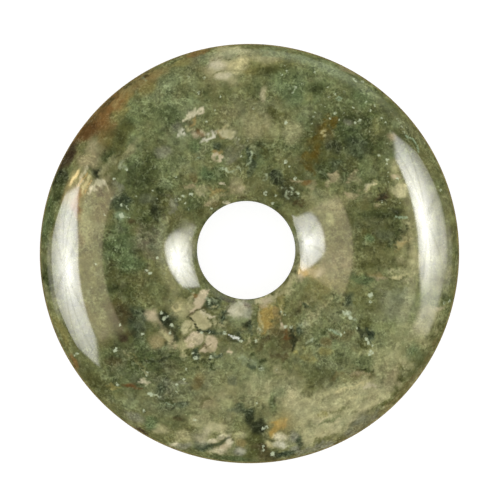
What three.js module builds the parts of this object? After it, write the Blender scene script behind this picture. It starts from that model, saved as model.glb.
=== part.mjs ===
// Agate donut: a flat polished stone ring with softly domed faces, worn as a pendant.
// It is one piece. Both faces are alike: a narrow flat land at the crown, a long easy fall
// to the rounded rim, and a shoulder that dips ever more steeply to the edge of the drilled hole.
// Units are millimetres and +Z is up. The origin is under the centre of the rim, on the
// surface that the ring rests on.
import * as THREE from "three";

// Driving dimensions
const OUTER_DIAMETER = 40.0;
const THICKNESS = 6.0;
const HOLE_DIAMETER = 9.37;
// The drill went in a little off the centre of the rim.
const HOLE_OFFSET = new THREE.Vector2(-0.315, 0.325);
// The funnel ground round the hole sits higher still, most of all this far out from the hole's
// edge, as a share of the way to the crown.
const FUNNEL_SHIFT = 0.3;
const FUNNEL_PEAK = 1 / 3;
// The crown is the highest circle of each face, lapped flat over a narrow land.
const CROWN_RADIUS = 12.0;
const CROWN_LAND = 1.0;
// Each face falls this far from the crown to the lip of the hole, and meets the lip at this angle.
const SHOULDER_DROP = 1.046;
const SHOULDER_ANGLE = THREE.MathUtils.degToRad(19.7);
// The lip bends on down to this angle, and a small rounding ends it at the hole's wall.
const LIP_RADIUS = 2.7;
const LIP_ANGLE = THREE.MathUtils.degToRad(43.5);
const EDGE_RADIUS = 0.12;

// Steps along the outline and around the ring
const STEPS_AROUND = 96;
const RIM_STEPS = 20;
const SHOULDER_STEPS = 6;
const LIP_STEPS = 4;
const EDGE_STEPS = 2;

const STONE_COLOUR = 0x6b7048;
const STONE_ROUGHNESS = 0.08;

const OUTER_RADIUS = OUTER_DIAMETER / 2;
const HOLE_RADIUS = HOLE_DIAMETER / 2;
const MIDDLE = THICKNESS / 2;
const CROWN_INNER = CROWN_RADIUS - CROWN_LAND / 2;
const CROWN_OUTER = CROWN_RADIUS + CROWN_LAND / 2;

// An arc that starts at a point with its normal leaning this far towards the hole, and goes on to
// lean further. Its side is 1 on the upper face and -1 on the lower one.
function bendingArc(start, radius, fromAngle, toAngle, side) {
  return new THREE.EllipseCurve(
    start.x + radius * Math.sin(fromAngle),
    start.y - side * radius * Math.cos(fromAngle),
    radius,
    radius,
    side * (Math.PI / 2 + fromAngle),
    side * (Math.PI / 2 + toAngle),
    side < 0,
  );
}

// One face's stretch from the crown to the hole wall, at the upper side (side 1) or the lower (-1):
// the shoulder is a quadratic curve that leaves the land level, the lip an arc that falls more
// steeply, and the edge a small arc that ends upright on the wall.
function throatPoints(side) {
  const lipWidth = LIP_RADIUS * (Math.sin(LIP_ANGLE) - Math.sin(SHOULDER_ANGLE));
  const edgeWidth = EDGE_RADIUS * (1 - Math.sin(LIP_ANGLE));
  const shoulderEnd = new THREE.Vector2(
    HOLE_RADIUS + lipWidth + edgeWidth,
    MIDDLE + side * (MIDDLE - SHOULDER_DROP),
  );
  const crownHeight = MIDDLE + side * MIDDLE;
  const shoulder = new THREE.QuadraticBezierCurve(
    new THREE.Vector2(CROWN_INNER, crownHeight),
    new THREE.Vector2(shoulderEnd.x + SHOULDER_DROP / Math.tan(SHOULDER_ANGLE), crownHeight),
    shoulderEnd,
  );
  const lip = bendingArc(shoulderEnd, LIP_RADIUS, SHOULDER_ANGLE, LIP_ANGLE, side);
  const edge = bendingArc(lip.getPoint(1), EDGE_RADIUS, LIP_ANGLE, Math.PI / 2, side);
  return [
    ...shoulder.getPoints(SHOULDER_STEPS),
    ...lip.getPoints(LIP_STEPS).slice(1),
    ...edge.getPoints(EDGE_STEPS).slice(1),
  ];
}

// The cross-section's outline, closed on itself, as points of radius and height. It runs round
// the rim from the upper land to the lower one, and back up the hole's wall.
function outline() {
  const rim = new THREE.EllipseCurve(
    CROWN_OUTER,
    MIDDLE,
    OUTER_RADIUS - CROWN_OUTER,
    MIDDLE,
    -Math.PI / 2,
    Math.PI / 2,
  );
  const points = [
    ...rim.getPoints(RIM_STEPS),
    ...throatPoints(1),
    ...throatPoints(-1).reverse(),
  ];
  return [...points, points[0].clone()];
}

// How far the funnel's own shift moves a circle of this radius: nothing at the hole's edge and from
// the crown outwards, all of it at the peak, and a smooth rise and fall between them.
function funnelShift(radius) {
  const way = (radius - HOLE_RADIUS) / (CROWN_INNER - HOLE_RADIUS);
  const t = THREE.MathUtils.clamp(way, 0, 1);
  return FUNNEL_SHIFT * (t / FUNNEL_PEAK) ** 2 * ((1 - t) / (1 - FUNNEL_PEAK)) ** 4;
}

// Moves each circle of the ring sideways: the rim stays, the hole takes the whole offset, and
// the circles between them take a share by their radius, and the funnel's shift.
function setHoleOffCentre(geometry) {
  const place = geometry.getAttribute("position");
  for (let i = 0; i < place.count; i++) {
    const radius = Math.hypot(place.getX(i), place.getY(i));
    const share = (OUTER_RADIUS - radius) / (OUTER_RADIUS - HOLE_RADIUS);
    place.setX(i, place.getX(i) + share * HOLE_OFFSET.x);
    place.setY(i, place.getY(i) + share * HOLE_OFFSET.y + funnelShift(radius));
  }
  geometry.computeVertexNormals();
  return geometry;
}

function makeDonut() {
  const geometry = new THREE.LatheGeometry(outline(), STEPS_AROUND);
  geometry.rotateX(Math.PI / 2);
  const material = new THREE.MeshStandardMaterial({
    color: STONE_COLOUR,
    roughness: STONE_ROUGHNESS,
    metalness: 0,
  });
  const donut = new THREE.Mesh(setHoleOffCentre(geometry), material);
  donut.name = "donut";
  return donut;
}

const agateDonut = new THREE.Group();
agateDonut.add(makeDonut());

export default agateDonut;
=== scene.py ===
"""Agate donut: a flat ring of polished moss agate, lying face up on a pale table.

The stone is one surface: a section carried round the hole's axis, finer on the face that is seen.
Its colours are worked out as a solid pattern, from clouds, veins and flecks that are placed on the
face, and finished by fine noise in the shader. Lengths are millimetres where a name ends in MM or
a class says so, and metres in everything that goes to Blender.
"""

from __future__ import annotations

import itertools
import logging
import math
from dataclasses import dataclass, field
from enum import Enum

import bpy
import numpy as np
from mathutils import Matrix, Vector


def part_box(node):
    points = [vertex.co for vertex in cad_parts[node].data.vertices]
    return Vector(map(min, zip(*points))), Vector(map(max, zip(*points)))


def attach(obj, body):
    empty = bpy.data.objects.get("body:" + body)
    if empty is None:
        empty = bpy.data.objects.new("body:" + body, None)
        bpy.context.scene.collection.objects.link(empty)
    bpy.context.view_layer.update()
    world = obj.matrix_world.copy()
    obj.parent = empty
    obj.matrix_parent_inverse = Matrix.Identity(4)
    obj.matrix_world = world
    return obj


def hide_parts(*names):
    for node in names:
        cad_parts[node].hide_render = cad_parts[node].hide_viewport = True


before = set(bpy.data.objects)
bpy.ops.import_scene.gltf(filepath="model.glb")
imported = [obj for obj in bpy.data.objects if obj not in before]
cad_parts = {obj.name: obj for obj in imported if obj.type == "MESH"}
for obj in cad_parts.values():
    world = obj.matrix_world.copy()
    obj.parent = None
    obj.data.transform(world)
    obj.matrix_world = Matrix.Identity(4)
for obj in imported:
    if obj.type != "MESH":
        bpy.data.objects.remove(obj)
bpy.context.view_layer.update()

LOG = logging.getLogger("agate_donut")
MM = 0.001
# Sizes in millimetres of the noise that frays what is painted, finest first.
FRAY_WAVES = (0.6, 1.4, 3.2, 7.0)
GRAIN_WAVE = 0.9
# A fleck is a vein of this length, in millimetres.
FLECK_LENGTH = 0.01
# Less than this share of a direction along a lamp's axis counts as behind the eye.
LEAST_AHEAD = 0.01


def srgb_to_linear(colour: np.ndarray) -> np.ndarray:
    """Turns screen colours of 0 to 255 into linear light.

    Args:
        colour: an array of any shape, of values from 0 to 255.

    Returns:
        Linear values: c / 12.92 below the knee, and ((c + 0.055) / 1.055) to the 2.4 above it.
    """
    c = np.clip(np.asarray(colour, float) / 255.0, 0.0, 1.0)
    return np.where(c <= 0.04045, c / 12.92, ((c + 0.055) / 1.055) ** 2.4)


def smooth(edge_low: float, edge_high: float, value: np.ndarray) -> np.ndarray:
    """Rises from 0 at edge_low to 1 at edge_high as 3t squared minus 2t cubed."""
    t = np.clip((value - edge_low) / (edge_high - edge_low), 0.0, 1.0)
    return t * t * (3.0 - 2.0 * t)


class NodeTree:
    """A short way to add linked shader nodes to a material's or world's node tree."""

    def __init__(self, tree: bpy.types.NodeTree) -> None:
        """Empties the tree, which is then filled by the other methods."""
        self.tree = tree
        self.tree.nodes.clear()

    def add(self, kind: str, **settings: object) -> bpy.types.Node:
        """Adds a node.

        Args:
            kind: the node's type name, such as ShaderNodeMath.
            settings: properties to set on it, such as operation.

        Returns:
            The new node.
        """
        node = self.tree.nodes.new(kind)
        for name, value in settings.items():
            setattr(node, name, value)
        return node

    def set(self, node: bpy.types.Node, **inputs: object) -> bpy.types.Node:
        """Sets or links a node's inputs.

        Args:
            node: the node to fill.
            inputs: input names with _ for a space, or i and a number. A socket is linked, and
                anything else is a value.

        Returns:
            The same node.
        """
        for name, value in inputs.items():
            numbered = name[0] == "i" and name[1:].isdigit()
            socket = node.inputs[int(name[1:]) if numbered else name.replace("_", " ")]
            if isinstance(value, bpy.types.NodeSocket):
                self.tree.links.new(value, socket)
            else:
                socket.default_value = value
        return node

    def math(self, operation: str, *values: object) -> bpy.types.NodeSocket:
        """Adds a Math node on up to three values or sockets, and returns its result."""
        node = self.add("ShaderNodeMath", operation=operation)
        self.set(node, **{f"i{i}": v for i, v in enumerate(values)})
        return node.outputs[0]

    def rise(self, value: object, low: float, high: float) -> bpy.types.NodeSocket:
        """Maps value smoothly from 0 at low to 1 at high."""
        node = self.add("ShaderNodeMapRange", interpolation_type="SMOOTHSTEP")
        self.set(node, Value=value, From_Min=low, From_Max=high)
        return node.outputs[0]

    def noise(self, place: object, wave: float, detail: float, rough: float = 0.6,
              bend: float = 0.0) -> bpy.types.NodeSocket:
        """Adds solid noise.

        Args:
            place: the socket of positions, in metres.
            wave: the size of its broadest patches, in millimetres.
            detail: how many finer layers it has.
            rough: how strong each finer layer is beside the one before.
            bend: how far it is twisted by itself.

        Returns:
            Its value socket, about 0.5 on average.
        """
        node = self.add("ShaderNodeTexNoise")
        self.set(node, Vector=place, Scale=1 / (wave * MM), Detail=detail, Roughness=rough,
                 Distortion=bend)
        return node.outputs[0]

    def vector(self, operation: str, *values: object) -> bpy.types.Node:
        """Adds a Vector Math node on up to three values or sockets."""
        node = self.add("ShaderNodeVectorMath", operation=operation)
        return self.set(node, **{f"i{i}": v for i, v in enumerate(values)})

    def scaled(self, colour: object, factor: object) -> bpy.types.NodeSocket:
        """Multiplies a colour by a number."""
        return self.set(self.vector("SCALE", colour), Scale=factor).outputs[0]

    def blend(self, share: object, under: object, over: object) -> bpy.types.NodeSocket:
        """Lays the colour over on the colour under, by a share of 0 to 1."""
        node = self.add("ShaderNodeMix", data_type="RGBA")
        self.set(node, i0=share, i6=under, i7=over)
        return node.outputs[2]


class Ink(Enum):
    """The stone's own colours and a painted rim glow as a screen shows them, 0 to 255, and how
    mossy each is, 0 to 1.
    """

    NIGHT = (44, 48, 30, 0.9)
    SPRUCE = (62, 71, 50, 1.0)
    DEEP_MOSS = (64, 71, 40, 1.0)
    MOSS = (81, 91, 56, 1.0)
    FERN = (92, 108, 70, 1.0)
    LEAF = (112, 121, 78, 0.8)
    SAGE = (130, 139, 98, 0.7)
    SLATE = (96, 102, 76, 0.8)
    PEWTER = (128, 128, 106, 0.5)
    DARK_OLIVE = (80, 82, 45, 0.7)
    OLIVE = (108, 109, 68, 0.6)
    GOLD_OLIVE = (128, 123, 72, 0.4)
    KHAKI = (158, 154, 112, 0.3)
    PALE_KHAKI = (180, 174, 131, 0.15)
    LIME = (160, 161, 113, 0.3)
    STRAW = (192, 184, 134, 0.2)
    CREAM = (200, 192, 158, 0.2)
    BONE = (210, 206, 180, 0.1)
    PINK_CREAM = (194, 180, 146, 0.1)
    TAN = (152, 142, 106, 0.3)
    BROWN = (106, 97, 60, 0.4)
    UMBER = (76, 69, 42, 0.5)
    MAROON = (62, 52, 35, 0.4)
    RUST = (122, 93, 52, 0.3)
    OCHRE = (146, 130, 82, 0.3)
    AMBER = (170, 143, 76, 0.2)
    GOLD = (196, 166, 104, 0.1)
    BRONZE = (88, 76, 30, 0.5)
    CHESTNUT = (96, 70, 38, 0.4)
    DUSK = (116, 108, 88, 0.4)
    # A painted glow, not a colour of the stone: warm light coming through the thin rim.
    RIM_GLOW = (158, 134, 80, 0.3)
    LICHEN = (162, 172, 138, 0.6)
    CHALK = (182, 188, 158, 0.4)
    MINT = (152, 172, 138, 0.5)
    FROST = (192, 202, 168, 0.1)
    SNOW = (232, 236, 222, 0.0)


@dataclass(frozen=True)
class SolidNoise:
    """Smooth random values through space, from a seeded lattice of slopes.

    gain brings the values near 1 at most, and layer_shift, in millimetres, parts one layer from the
    next.
    """

    seed: int
    gain: float = 1.5
    layer_shift: float = 7.3

    def value(self, place: np.ndarray, wave: float) -> np.ndarray:
        """Works out gradient noise: the eight lattice slopes round a point, eased by 6t5 - 15t4 + 10t3.

        Args:
            place: points, one a row, in millimetres.
            wave: the lattice's spacing in millimetres.

        Returns:
            One value a point, about -1 to 1.
        """
        random = np.random.RandomState(self.seed)
        order = random.permutation(256)
        slopes = random.normal(size=(256, 3))
        slopes /= np.linalg.norm(slopes, axis=1, keepdims=True)
        cell = np.floor(place / wave).astype(int)
        inside = place / wave - cell
        ease = inside**3 * (inside * (inside * 6 - 15) + 10)
        total = np.zeros(len(place))
        for corner in itertools.product((0, 1), repeat=3):
            x, y, z = ((cell + corner) & 255).T
            slope = slopes[order[(order[(order[x] + y) & 255] + z) & 255]]
            weight = np.prod(np.where(corner, ease, 1 - ease), axis=1)
            total += weight * np.sum(slope * (inside - corner), axis=1)
        return total * self.gain

    def layers(self, place: np.ndarray, wave: float, count: int, fade: float = 0.55) -> np.ndarray:
        """Adds layers of noise, each half the size of the last and fade times as strong."""
        total = np.zeros(len(place))
        for k in range(count):
            total = total + self.value(place + self.layer_shift * k, wave / 2**k) * fade**k
        return total


@dataclass
class Face:
    """The stone's vertices as its pattern sees them.

    at holds where each lies on the face, seen from above, and solid where it lies in space, both in
    millimetres. Noise frays what is painted: drift by size of mark, and grain by share. fray_size is
    the size of the noise that frays a mark, over the mark's own.
    """

    at: np.ndarray
    solid: np.ndarray
    fray_size: float = 1.3
    drifts: dict[float, np.ndarray] = field(default_factory=dict)
    grain: np.ndarray = field(init=False)

    def __post_init__(self) -> None:
        """Works out the noise that every mark shares."""
        for number, wave in enumerate(FRAY_WAVES):
            sideways = [SolidNoise(20 + 2 * number + k).layers(self.solid, wave, 4) for k in (0, 1)]
            self.drifts[wave] = np.stack(sideways, 1) * wave
        self.grain = SolidNoise(40).layers(self.solid, GRAIN_WAVE, 3)

    def drift(self, size: float) -> np.ndarray:
        """Gives the sideways shift that frays a mark of this size, in millimetres."""
        wave = min(self.drifts, key=lambda known: abs(math.log(known / (size * self.fray_size))))
        return self.drifts[wave] * min(size / wave, 1.0)


@dataclass(frozen=True)
class Cloud:
    """A soft body of one colour, an ellipse with frayed edges, in millimetres on the face.

    long and short are its widths, cover is how much it hides at its middle, turn is degrees
    anticlockwise from +X, edge is 0 for crisp and 1 for fading from the middle out, fray bends its
    outline, and grain makes it patchy.
    """

    ink: Ink
    x: float
    y: float
    long: float
    short: float
    cover: float = 0.75
    turn: float = 0.0
    edge: float = 0.45
    fray: float = 0.3
    grain: float = 0.35

    def share(self, face: Face, moss: np.ndarray) -> np.ndarray:
        """Says how much of the cloud shows at each vertex.

        The share is cover times a smooth fall over q from 1 - edge to 1 + edge, where q is the
        length of the vertex's turned and frayed offset over the half widths.

        Args:
            face: the vertices.
            moss: how mossy each is, which a cloud takes no notice of.

        Returns:
            A share of 0 to 1 for each vertex.
        """
        offset = face.at + self.fray * face.drift(self.short) - (self.x, self.y)
        c, s = math.cos(math.radians(self.turn)), math.sin(math.radians(self.turn))
        along = (offset[:, 0] * c + offset[:, 1] * s) * 2 / self.long
        across = (offset[:, 1] * c - offset[:, 0] * s) * 2 / self.short
        fall = 1 - smooth(1 - self.edge, 1 + self.edge, np.hypot(along, across))
        return np.clip(self.cover * fall * (1 + self.grain * face.grain), 0.0, 1.0)


def line_distance(at: np.ndarray,
                  points: tuple[tuple[float, float], ...]) -> tuple[np.ndarray, np.ndarray]:
    """Measures how far each place is from the nearest stretch of a line through points.

    On each stretch, the nearest point is the place's shadow on it, held between its ends.

    Args:
        at: the places, one a row.
        points: the line's corners.

    Returns:
        The distance of each place, and how far along the line its nearest point is, 0 to 1.
    """
    nearest = np.full(len(at), np.inf)
    passed = np.zeros(len(at))
    corners = np.array(points, float)
    for number, (start, end) in enumerate(zip(corners[:-1], corners[1:])):
        run = end - start
        along = np.clip((at - start) @ run / max(run @ run, 1e-9), 0.0, 1.0)
        away = np.linalg.norm(at - start - along[:, None] * run, axis=1)
        passed = np.where(away < nearest, (number + along) / (len(corners) - 1), passed)
        nearest = np.minimum(nearest, away)
    return nearest, passed


@dataclass(frozen=True)
class Smear:
    """A soft body of one colour along a line through points, in millimetres on the face.

    Its width is its own times end_width at both ends, and more by swell at its middle.
    """

    ink: Ink
    width: float
    points: tuple[tuple[float, float], ...]
    cover: float = 0.7
    edge: float = 0.6
    fray: float = 0.8
    grain: float = 0.6
    end_width: float = 0.5
    swell: float = 0.6

    def share(self, face: Face, moss: np.ndarray) -> np.ndarray:
        """Says how much of it shows at each vertex.

        The share is cover times a smooth fall over q from 1 - edge to 1 + edge, where q is the
        frayed distance from the line over half the width, and patchy by the face's grain.

        Args:
            face: the vertices.
            moss: how mossy each is, which a smear takes no notice of.

        Returns:
            A share of 0 to 1 for each vertex.
        """
        away, along = line_distance(face.at + self.fray * face.drift(self.width), self.points)
        width = self.width * (self.end_width + self.swell * np.sin(np.pi * along))
        fall = 1 - smooth(1 - self.edge, 1 + self.edge, away * 2 / width)
        return np.clip(self.cover * fall * (1 + self.grain * face.grain), 0.0, 1.0)


def arc_smear(ink: Ink, width: float, radius: float, start: float, stop: float,
              cover: float) -> Smear:
    """Bends a smear round the stone, at a radius in millimetres between two bearings in degrees."""
    bearings = np.radians(np.linspace(start, stop, 7))
    points = tuple((radius * math.cos(b), radius * math.sin(b)) for b in bearings)
    return Smear(ink, width, points, cover)


@dataclass(frozen=True)
class Cell:
    """A body of one colour inside a closed outline, with corners in millimetres on the face."""

    ink: Ink
    points: tuple[tuple[float, float], ...]
    cover: float = 0.95
    edge: float = 0.12
    fray: float = 0.3
    grain: float = 0.2

    def share(self, face: Face, moss: np.ndarray) -> np.ndarray:
        """Says how much of it shows at each vertex.

        A vertex is inside when a level line from it crosses the outline an odd number of times. The
        share is cover times a smooth rise over the depth inside, from minus edge to edge, in
        millimetres.

        Args:
            face: the vertices.
            moss: how mossy each is, which a cell takes no notice of.

        Returns:
            A share of 0 to 1 for each vertex.
        """
        at = face.at + self.fray * face.drifts[FRAY_WAVES[0]]
        outline = (*self.points, self.points[0])
        inside = np.zeros(len(at), bool)
        for (x0, y0), (x1, y1) in zip(outline[:-1], outline[1:]):
            level = (at[:, 1] < y0) != (at[:, 1] < y1)
            inside ^= level & (at[:, 0] < x0 + (x1 - x0) * (at[:, 1] - y0) / (y1 - y0 or 1.0))
        away = line_distance(at, outline)[0]
        fall = smooth(-self.edge, self.edge, np.where(inside, away, -away))
        return np.clip(self.cover * fall * (1 + self.grain * face.grain), 0.0, 1.0)


@dataclass(frozen=True)
class Vein:
    """A thin mark along a line through points, in millimetres on the face."""

    ink: Ink
    width: float
    points: tuple[tuple[float, float], ...]
    cover: float = 0.8
    fray: float = 0.12

    def depth(self, face: Face) -> np.ndarray:
        """Says how far inside the mark each vertex lies, in millimetres, and below 0 outside it."""
        at = face.at + self.fray * face.drifts[FRAY_WAVES[0]]
        return self.width / 2 - line_distance(at, self.points)[0]


def fleck(ink: Ink, x: float, y: float, size: float, cover: float = 0.85) -> Vein:
    """Makes a small round mark, as a vein of almost no length."""
    return Vein(ink, size, ((x, y), (x + FLECK_LENGTH, y)), cover)


BROAD_CLOUDS = (
    Cloud(Ink.LEAF, -10, 13.4, 8.5, 6.5, 0.94, 40, 0.8),
    Cloud(Ink.LEAF, -6, 9, 8, 6, 0.75, 0, 0.8),
    Cloud(Ink.SLATE, -7, 12, 3, 5, 0.54, 0, 0.8),
    Cloud(Ink.MOSS, -10.3, 7.2, 5, 5, 0.88, 0, 0.7),
    Cloud(Ink.MOSS, -11.8, 0, 5, 9, 0.91, 0, 0.7),
    Cloud(Ink.DARK_OLIVE, -9.2, 3.8, 3.4, 4.4, 0.75, 0, 0.7),
    Cloud(Ink.DARK_OLIVE, -11.8, -3.6, 4.6, 4.6, 0.79, 0, 0.8),
    Cloud(Ink.DARK_OLIVE, -11.2, -7.2, 4, 7, 0.91, 20, 0.7),
    Cloud(Ink.DEEP_MOSS, -9.2, -10, 5.6, 3.6, 0.97, -15, 0.7),
    Cloud(Ink.MOSS, -12.4, -11.4, 5, 3.6, 0.65, -30, 0.8),
    Cloud(Ink.SLATE, -7.8, -13.6, 5.4, 3.8, 0.65, -10, 0.8),
    Cloud(Ink.KHAKI, -2.6, -13.8, 5.4, 4.2, 0.75, 0, 0.8),
    Cloud(Ink.KHAKI, 1.6, -12.6, 4, 3, 0.84, 0, 0.8),
    Cloud(Ink.SAGE, -1, -10.6, 7, 2.6, 0.59, 0, 0.8),
    Cloud(Ink.PALE_KHAKI, 9.4, -14.6, 11.5, 5.4, 0.99, 27, 0.55, 0.12),
    Cloud(Ink.PALE_KHAKI, 4, -14.4, 4, 3.4, 0.75, 0, 0.8),
    Cloud(Ink.SAGE, 9.2, -8.4, 7.5, 6.4, 0.65, 0, 0.7),
    Cloud(Ink.LIME, 14.2, -5.6, 4.6, 9.4, 0.75, 0, 0.8),
    Cloud(Ink.KHAKI, 15, -9.6, 4.6, 6.6, 0.88, -30, 0.8),
    Cloud(Ink.OLIVE, 12.4, -1, 6.4, 3.4, 0.97, 0, 0.7),
    Cloud(Ink.DARK_OLIVE, 12.4, 2.6, 5, 4.6, 0.91, 0, 0.7),
    Cloud(Ink.KHAKI, 7, 5, 3.6, 2.2, 0.84, 0, 0.8),
    Cloud(Ink.TAN, 7.8, -1, 4, 2.6, 0.7, 0, 0.8),
    Cloud(Ink.GOLD_OLIVE, 7, -3.2, 3.6, 3, 0.79, 0, 0.8),
    Cloud(Ink.MOSS, 9.6, 10, 8.4, 6.4, 0.88, 0, 0.7),
    Cloud(Ink.DARK_OLIVE, 6.8, 9.8, 3.4, 5, 0.84, 0, 0.8),
    Cloud(Ink.DEEP_MOSS, 10.6, 12.2, 4.6, 3.4, 0.75, -30, 0.8),
    Cloud(Ink.LEAF, 5.4, 15.8, 8, 5, 0.85, -20, 0.8),
    Cloud(Ink.LEAF, 10, 16.2, 6, 2.6, 0.75, -35, 0.8),
    Cloud(Ink.GOLD_OLIVE, 1.6, 18, 5, 2.4, 0.7, 0, 0.8),
    Cloud(Ink.PALE_KHAKI, -2.2, 17.8, 4.4, 3.2, 0.97, 0, 0.5),
    Cloud(Ink.KHAKI, 0.2, 12.3, 5.4, 3, 0.65, 0, 0.8),
    Cloud(Ink.MOSS, 0.8, 9.4, 3.4, 3, 0.7, 0, 0.8),
    Cloud(Ink.DARK_OLIVE, 3.4, 6.6, 4, 3.4, 0.75, 0, 0.8),
    Cloud(Ink.OLIVE, -15.2, -3, 2.6, 14, 0.84, 8, 0.7),
)

NORTH_WEST_CLOUDS = (
    Cloud(Ink.RUST, -13.6, 13.8, 5.4, 1.9, 0.94, 47, 0.6),
    Cloud(Ink.OCHRE, -9.6, 16.8, 4.4, 1.3, 0.7, 28),
    Cloud(Ink.GOLD_OLIVE, -9.6, 15.8, 1.8, 1, 0.75, 25),
    Cloud(Ink.GOLD_OLIVE, -12.2, 13.2, 1.8, 1.2, 0.75, 45),
    Cloud(Ink.AMBER, -11.6, 14.9, 1.6, 0.6, 0.3, 45),
    Cloud(Ink.BRONZE, -13.6, 10.8, 1.5, 2, 0.7),
    Cloud(Ink.DARK_OLIVE, -12.3, 11.2, 1.8, 2.8, 0.91, -20),
    Cloud(Ink.DEEP_MOSS, -13.3, 9.3, 1.6, 1.6, 0.84),
    Cloud(Ink.CHESTNUT, -15.6, 11.8, 2.6, 1.6, 0.99, 45),
    Cloud(Ink.MAROON, -17.4, 9.4, 3.6, 1.1, 0.91, 62),
    Cloud(Ink.MOSS, -19.2, 3.4, 5, 1.3, 0.91, 82),
    Cloud(Ink.NIGHT, -14.5, 7.7, 1, 0.8, 0.84, 20),
    Smear(Ink.UMBER, 1, ((-12.9, 6.7), (-13.5, 5.9), (-14.2, 5.4)), 0.55),
    Cloud(Ink.RUST, -16.1, 4.6, 0.9, 3, 0.88, 4),
    Cloud(Ink.BROWN, -16, 1.4, 0.8, 1.8),
    Cloud(Ink.LIME, -15.4, 2.9, 1.4, 2.8, 0.65),
    Cloud(Ink.BROWN, -13.9, 4.6, 1.4, 3, 0.48),
    Cloud(Ink.KHAKI, -11.9, 9.2, 4.2, 0.7, 0.59, 51),
    Cloud(Ink.DEEP_MOSS, -10, 6.9, 2.2, 2.8),
    Cloud(Ink.SPRUCE, -12.1, 4.9, 2, 1.4, 0.91),
    Cloud(Ink.MINT, -12.2, 3.6, 1.2, 0.8, 0.5),
    Cloud(Ink.UMBER, -11.2, 3.1, 0.8, 0.6, 0.88),
    Cloud(Ink.NIGHT, -8.8, 4.1, 1.2, 2.2, 0.99),
    Cloud(Ink.MOSS, -8.7, 1.6, 1.3, 3.8, 0.7),
    Cloud(Ink.OLIVE, -10.8, 2.2, 1.2, 0.9),
    Cloud(Ink.FERN, -12.2, 0.4, 2, 2.6, 0.54),
    Cloud(Ink.RUST, -13.9, 11.9, 1.7, 2.6, 0.6),
    Cloud(Ink.NIGHT, -18, 7.3, 1.1, 1.4, 0.97, -20),
    Cloud(Ink.DEEP_MOSS, -18.5, 6, 1.2, 2.6, 0.9, -18),
    Smear(Ink.TAN, 0.5, ((-13.2, 8), (-13.7, 7.2), (-14, 6.5)), 0.5),
    Smear(Ink.LEAF, 1, ((-11.9, 8), (-12.4, 7.2))),
    Smear(Ink.SAGE, 0.7, ((-8.2, 7.3), (-8, 6.6), (-7.7, 6.1))),
    Smear(Ink.PEWTER, 1, ((-8.1, 5.3), (-7.3, 4.7), (-7, 4.2)), 0.65),
    Cloud(Ink.SLATE, -9.8, 5.2, 1.6, 1, 0.7),
    Cloud(Ink.DEEP_MOSS, -9.3, 8.9, 1.3, 1, 0.6, 20),
    Cloud(Ink.DEEP_MOSS, -8.6, 6, 0.8, 0.6, 0.8),
    arc_smear(Ink.UMBER, 0.5, 19.7, 118, 146, 0.8),
    Cell(Ink.CHESTNUT, ((-17, 10.6), (-15.4, 12.4), (-14.8, 12.2), (-14.4, 11.3), (-15.2, 10.9),
                        (-16, 10.9)), 0.85, 0.35),
    Smear(Ink.RUST, 1.1, ((-14.6, 12.6), (-13.4, 13.6), (-12.4, 14.8)), 0.5, 0.9),
    Cell(Ink.OLIVE, ((-14.2, 9.9), (-14, 11.4), (-13.2, 11.8), (-12.8, 10.8), (-13.2, 9.9)),
                     0.5, 0.5, 0.8),
    Smear(Ink.OCHRE, 0.6, ((-12.3, 14.7), (-11.9, 15.4), (-11.2, 16)), 0.6),
    Smear(Ink.OCHRE, 0.5, ((-12.9, 14), (-12.5, 14.6)), 0.6),
    Cell(Ink.PINK_CREAM, ((-15.6, 9.7), (-15.2, 10.8), (-14.6, 10.8), (-14.3, 10.3), (-14.8, 9.9),
                          (-15.1, 9.5)), 0.45, 0.4),
    Cell(Ink.TAN, ((-16.5, 8.7), (-16.1, 9.4), (-14.9, 9.6), (-14.4, 8.8), (-14.9, 8.1), (-15.9, 8)),
                   0.85, 0.4, 0.6),
    Smear(Ink.KHAKI, 0.7, ((-14.1, 7.6), (-13.3, 8.4), (-12.2, 9.3), (-11, 10.3)), 0.7, 0.7),
    Smear(Ink.DARK_OLIVE, 0.4, ((-13.6, 7.4), (-12.9, 8.2), (-12.2, 8.8))),
    Smear(Ink.STRAW, 0.3, ((-15.9, 5.6), (-15.6, 6.6), (-15.1, 7.7)), 0.9),
    Smear(Ink.CREAM, 0.3, ((-16.2, 6.6), (-15.9, 7.4), (-15.5, 8.2)), 0.9),
    Smear(Ink.CREAM, 0.35, ((-15.3, 5.5), (-14.9, 6.4), (-14.4, 7)), 0.8),
    Smear(Ink.CREAM, 0.3, ((-14.8, 5.9), (-14.2, 6.3), (-14.3, 6.9), (-13.8, 6.7)), 0.9),
    Smear(Ink.CREAM, 0.3, ((-14, 6.9), (-13.6, 6.5), (-13.5, 6)), 0.8),
    Smear(Ink.UMBER, 0.25, ((-14.7, 6.6), (-14.2, 6.1), (-13.9, 5.6)), 0.8),
    Smear(Ink.PEWTER, 1, ((-13, 5.2), (-12.6, 6), (-12.3, 6.8)), 0.6),
    Smear(Ink.LICHEN, 0.35, ((-12, 8.9), (-12.3, 8.4), (-11.8, 8)), 0.8),
)

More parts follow.
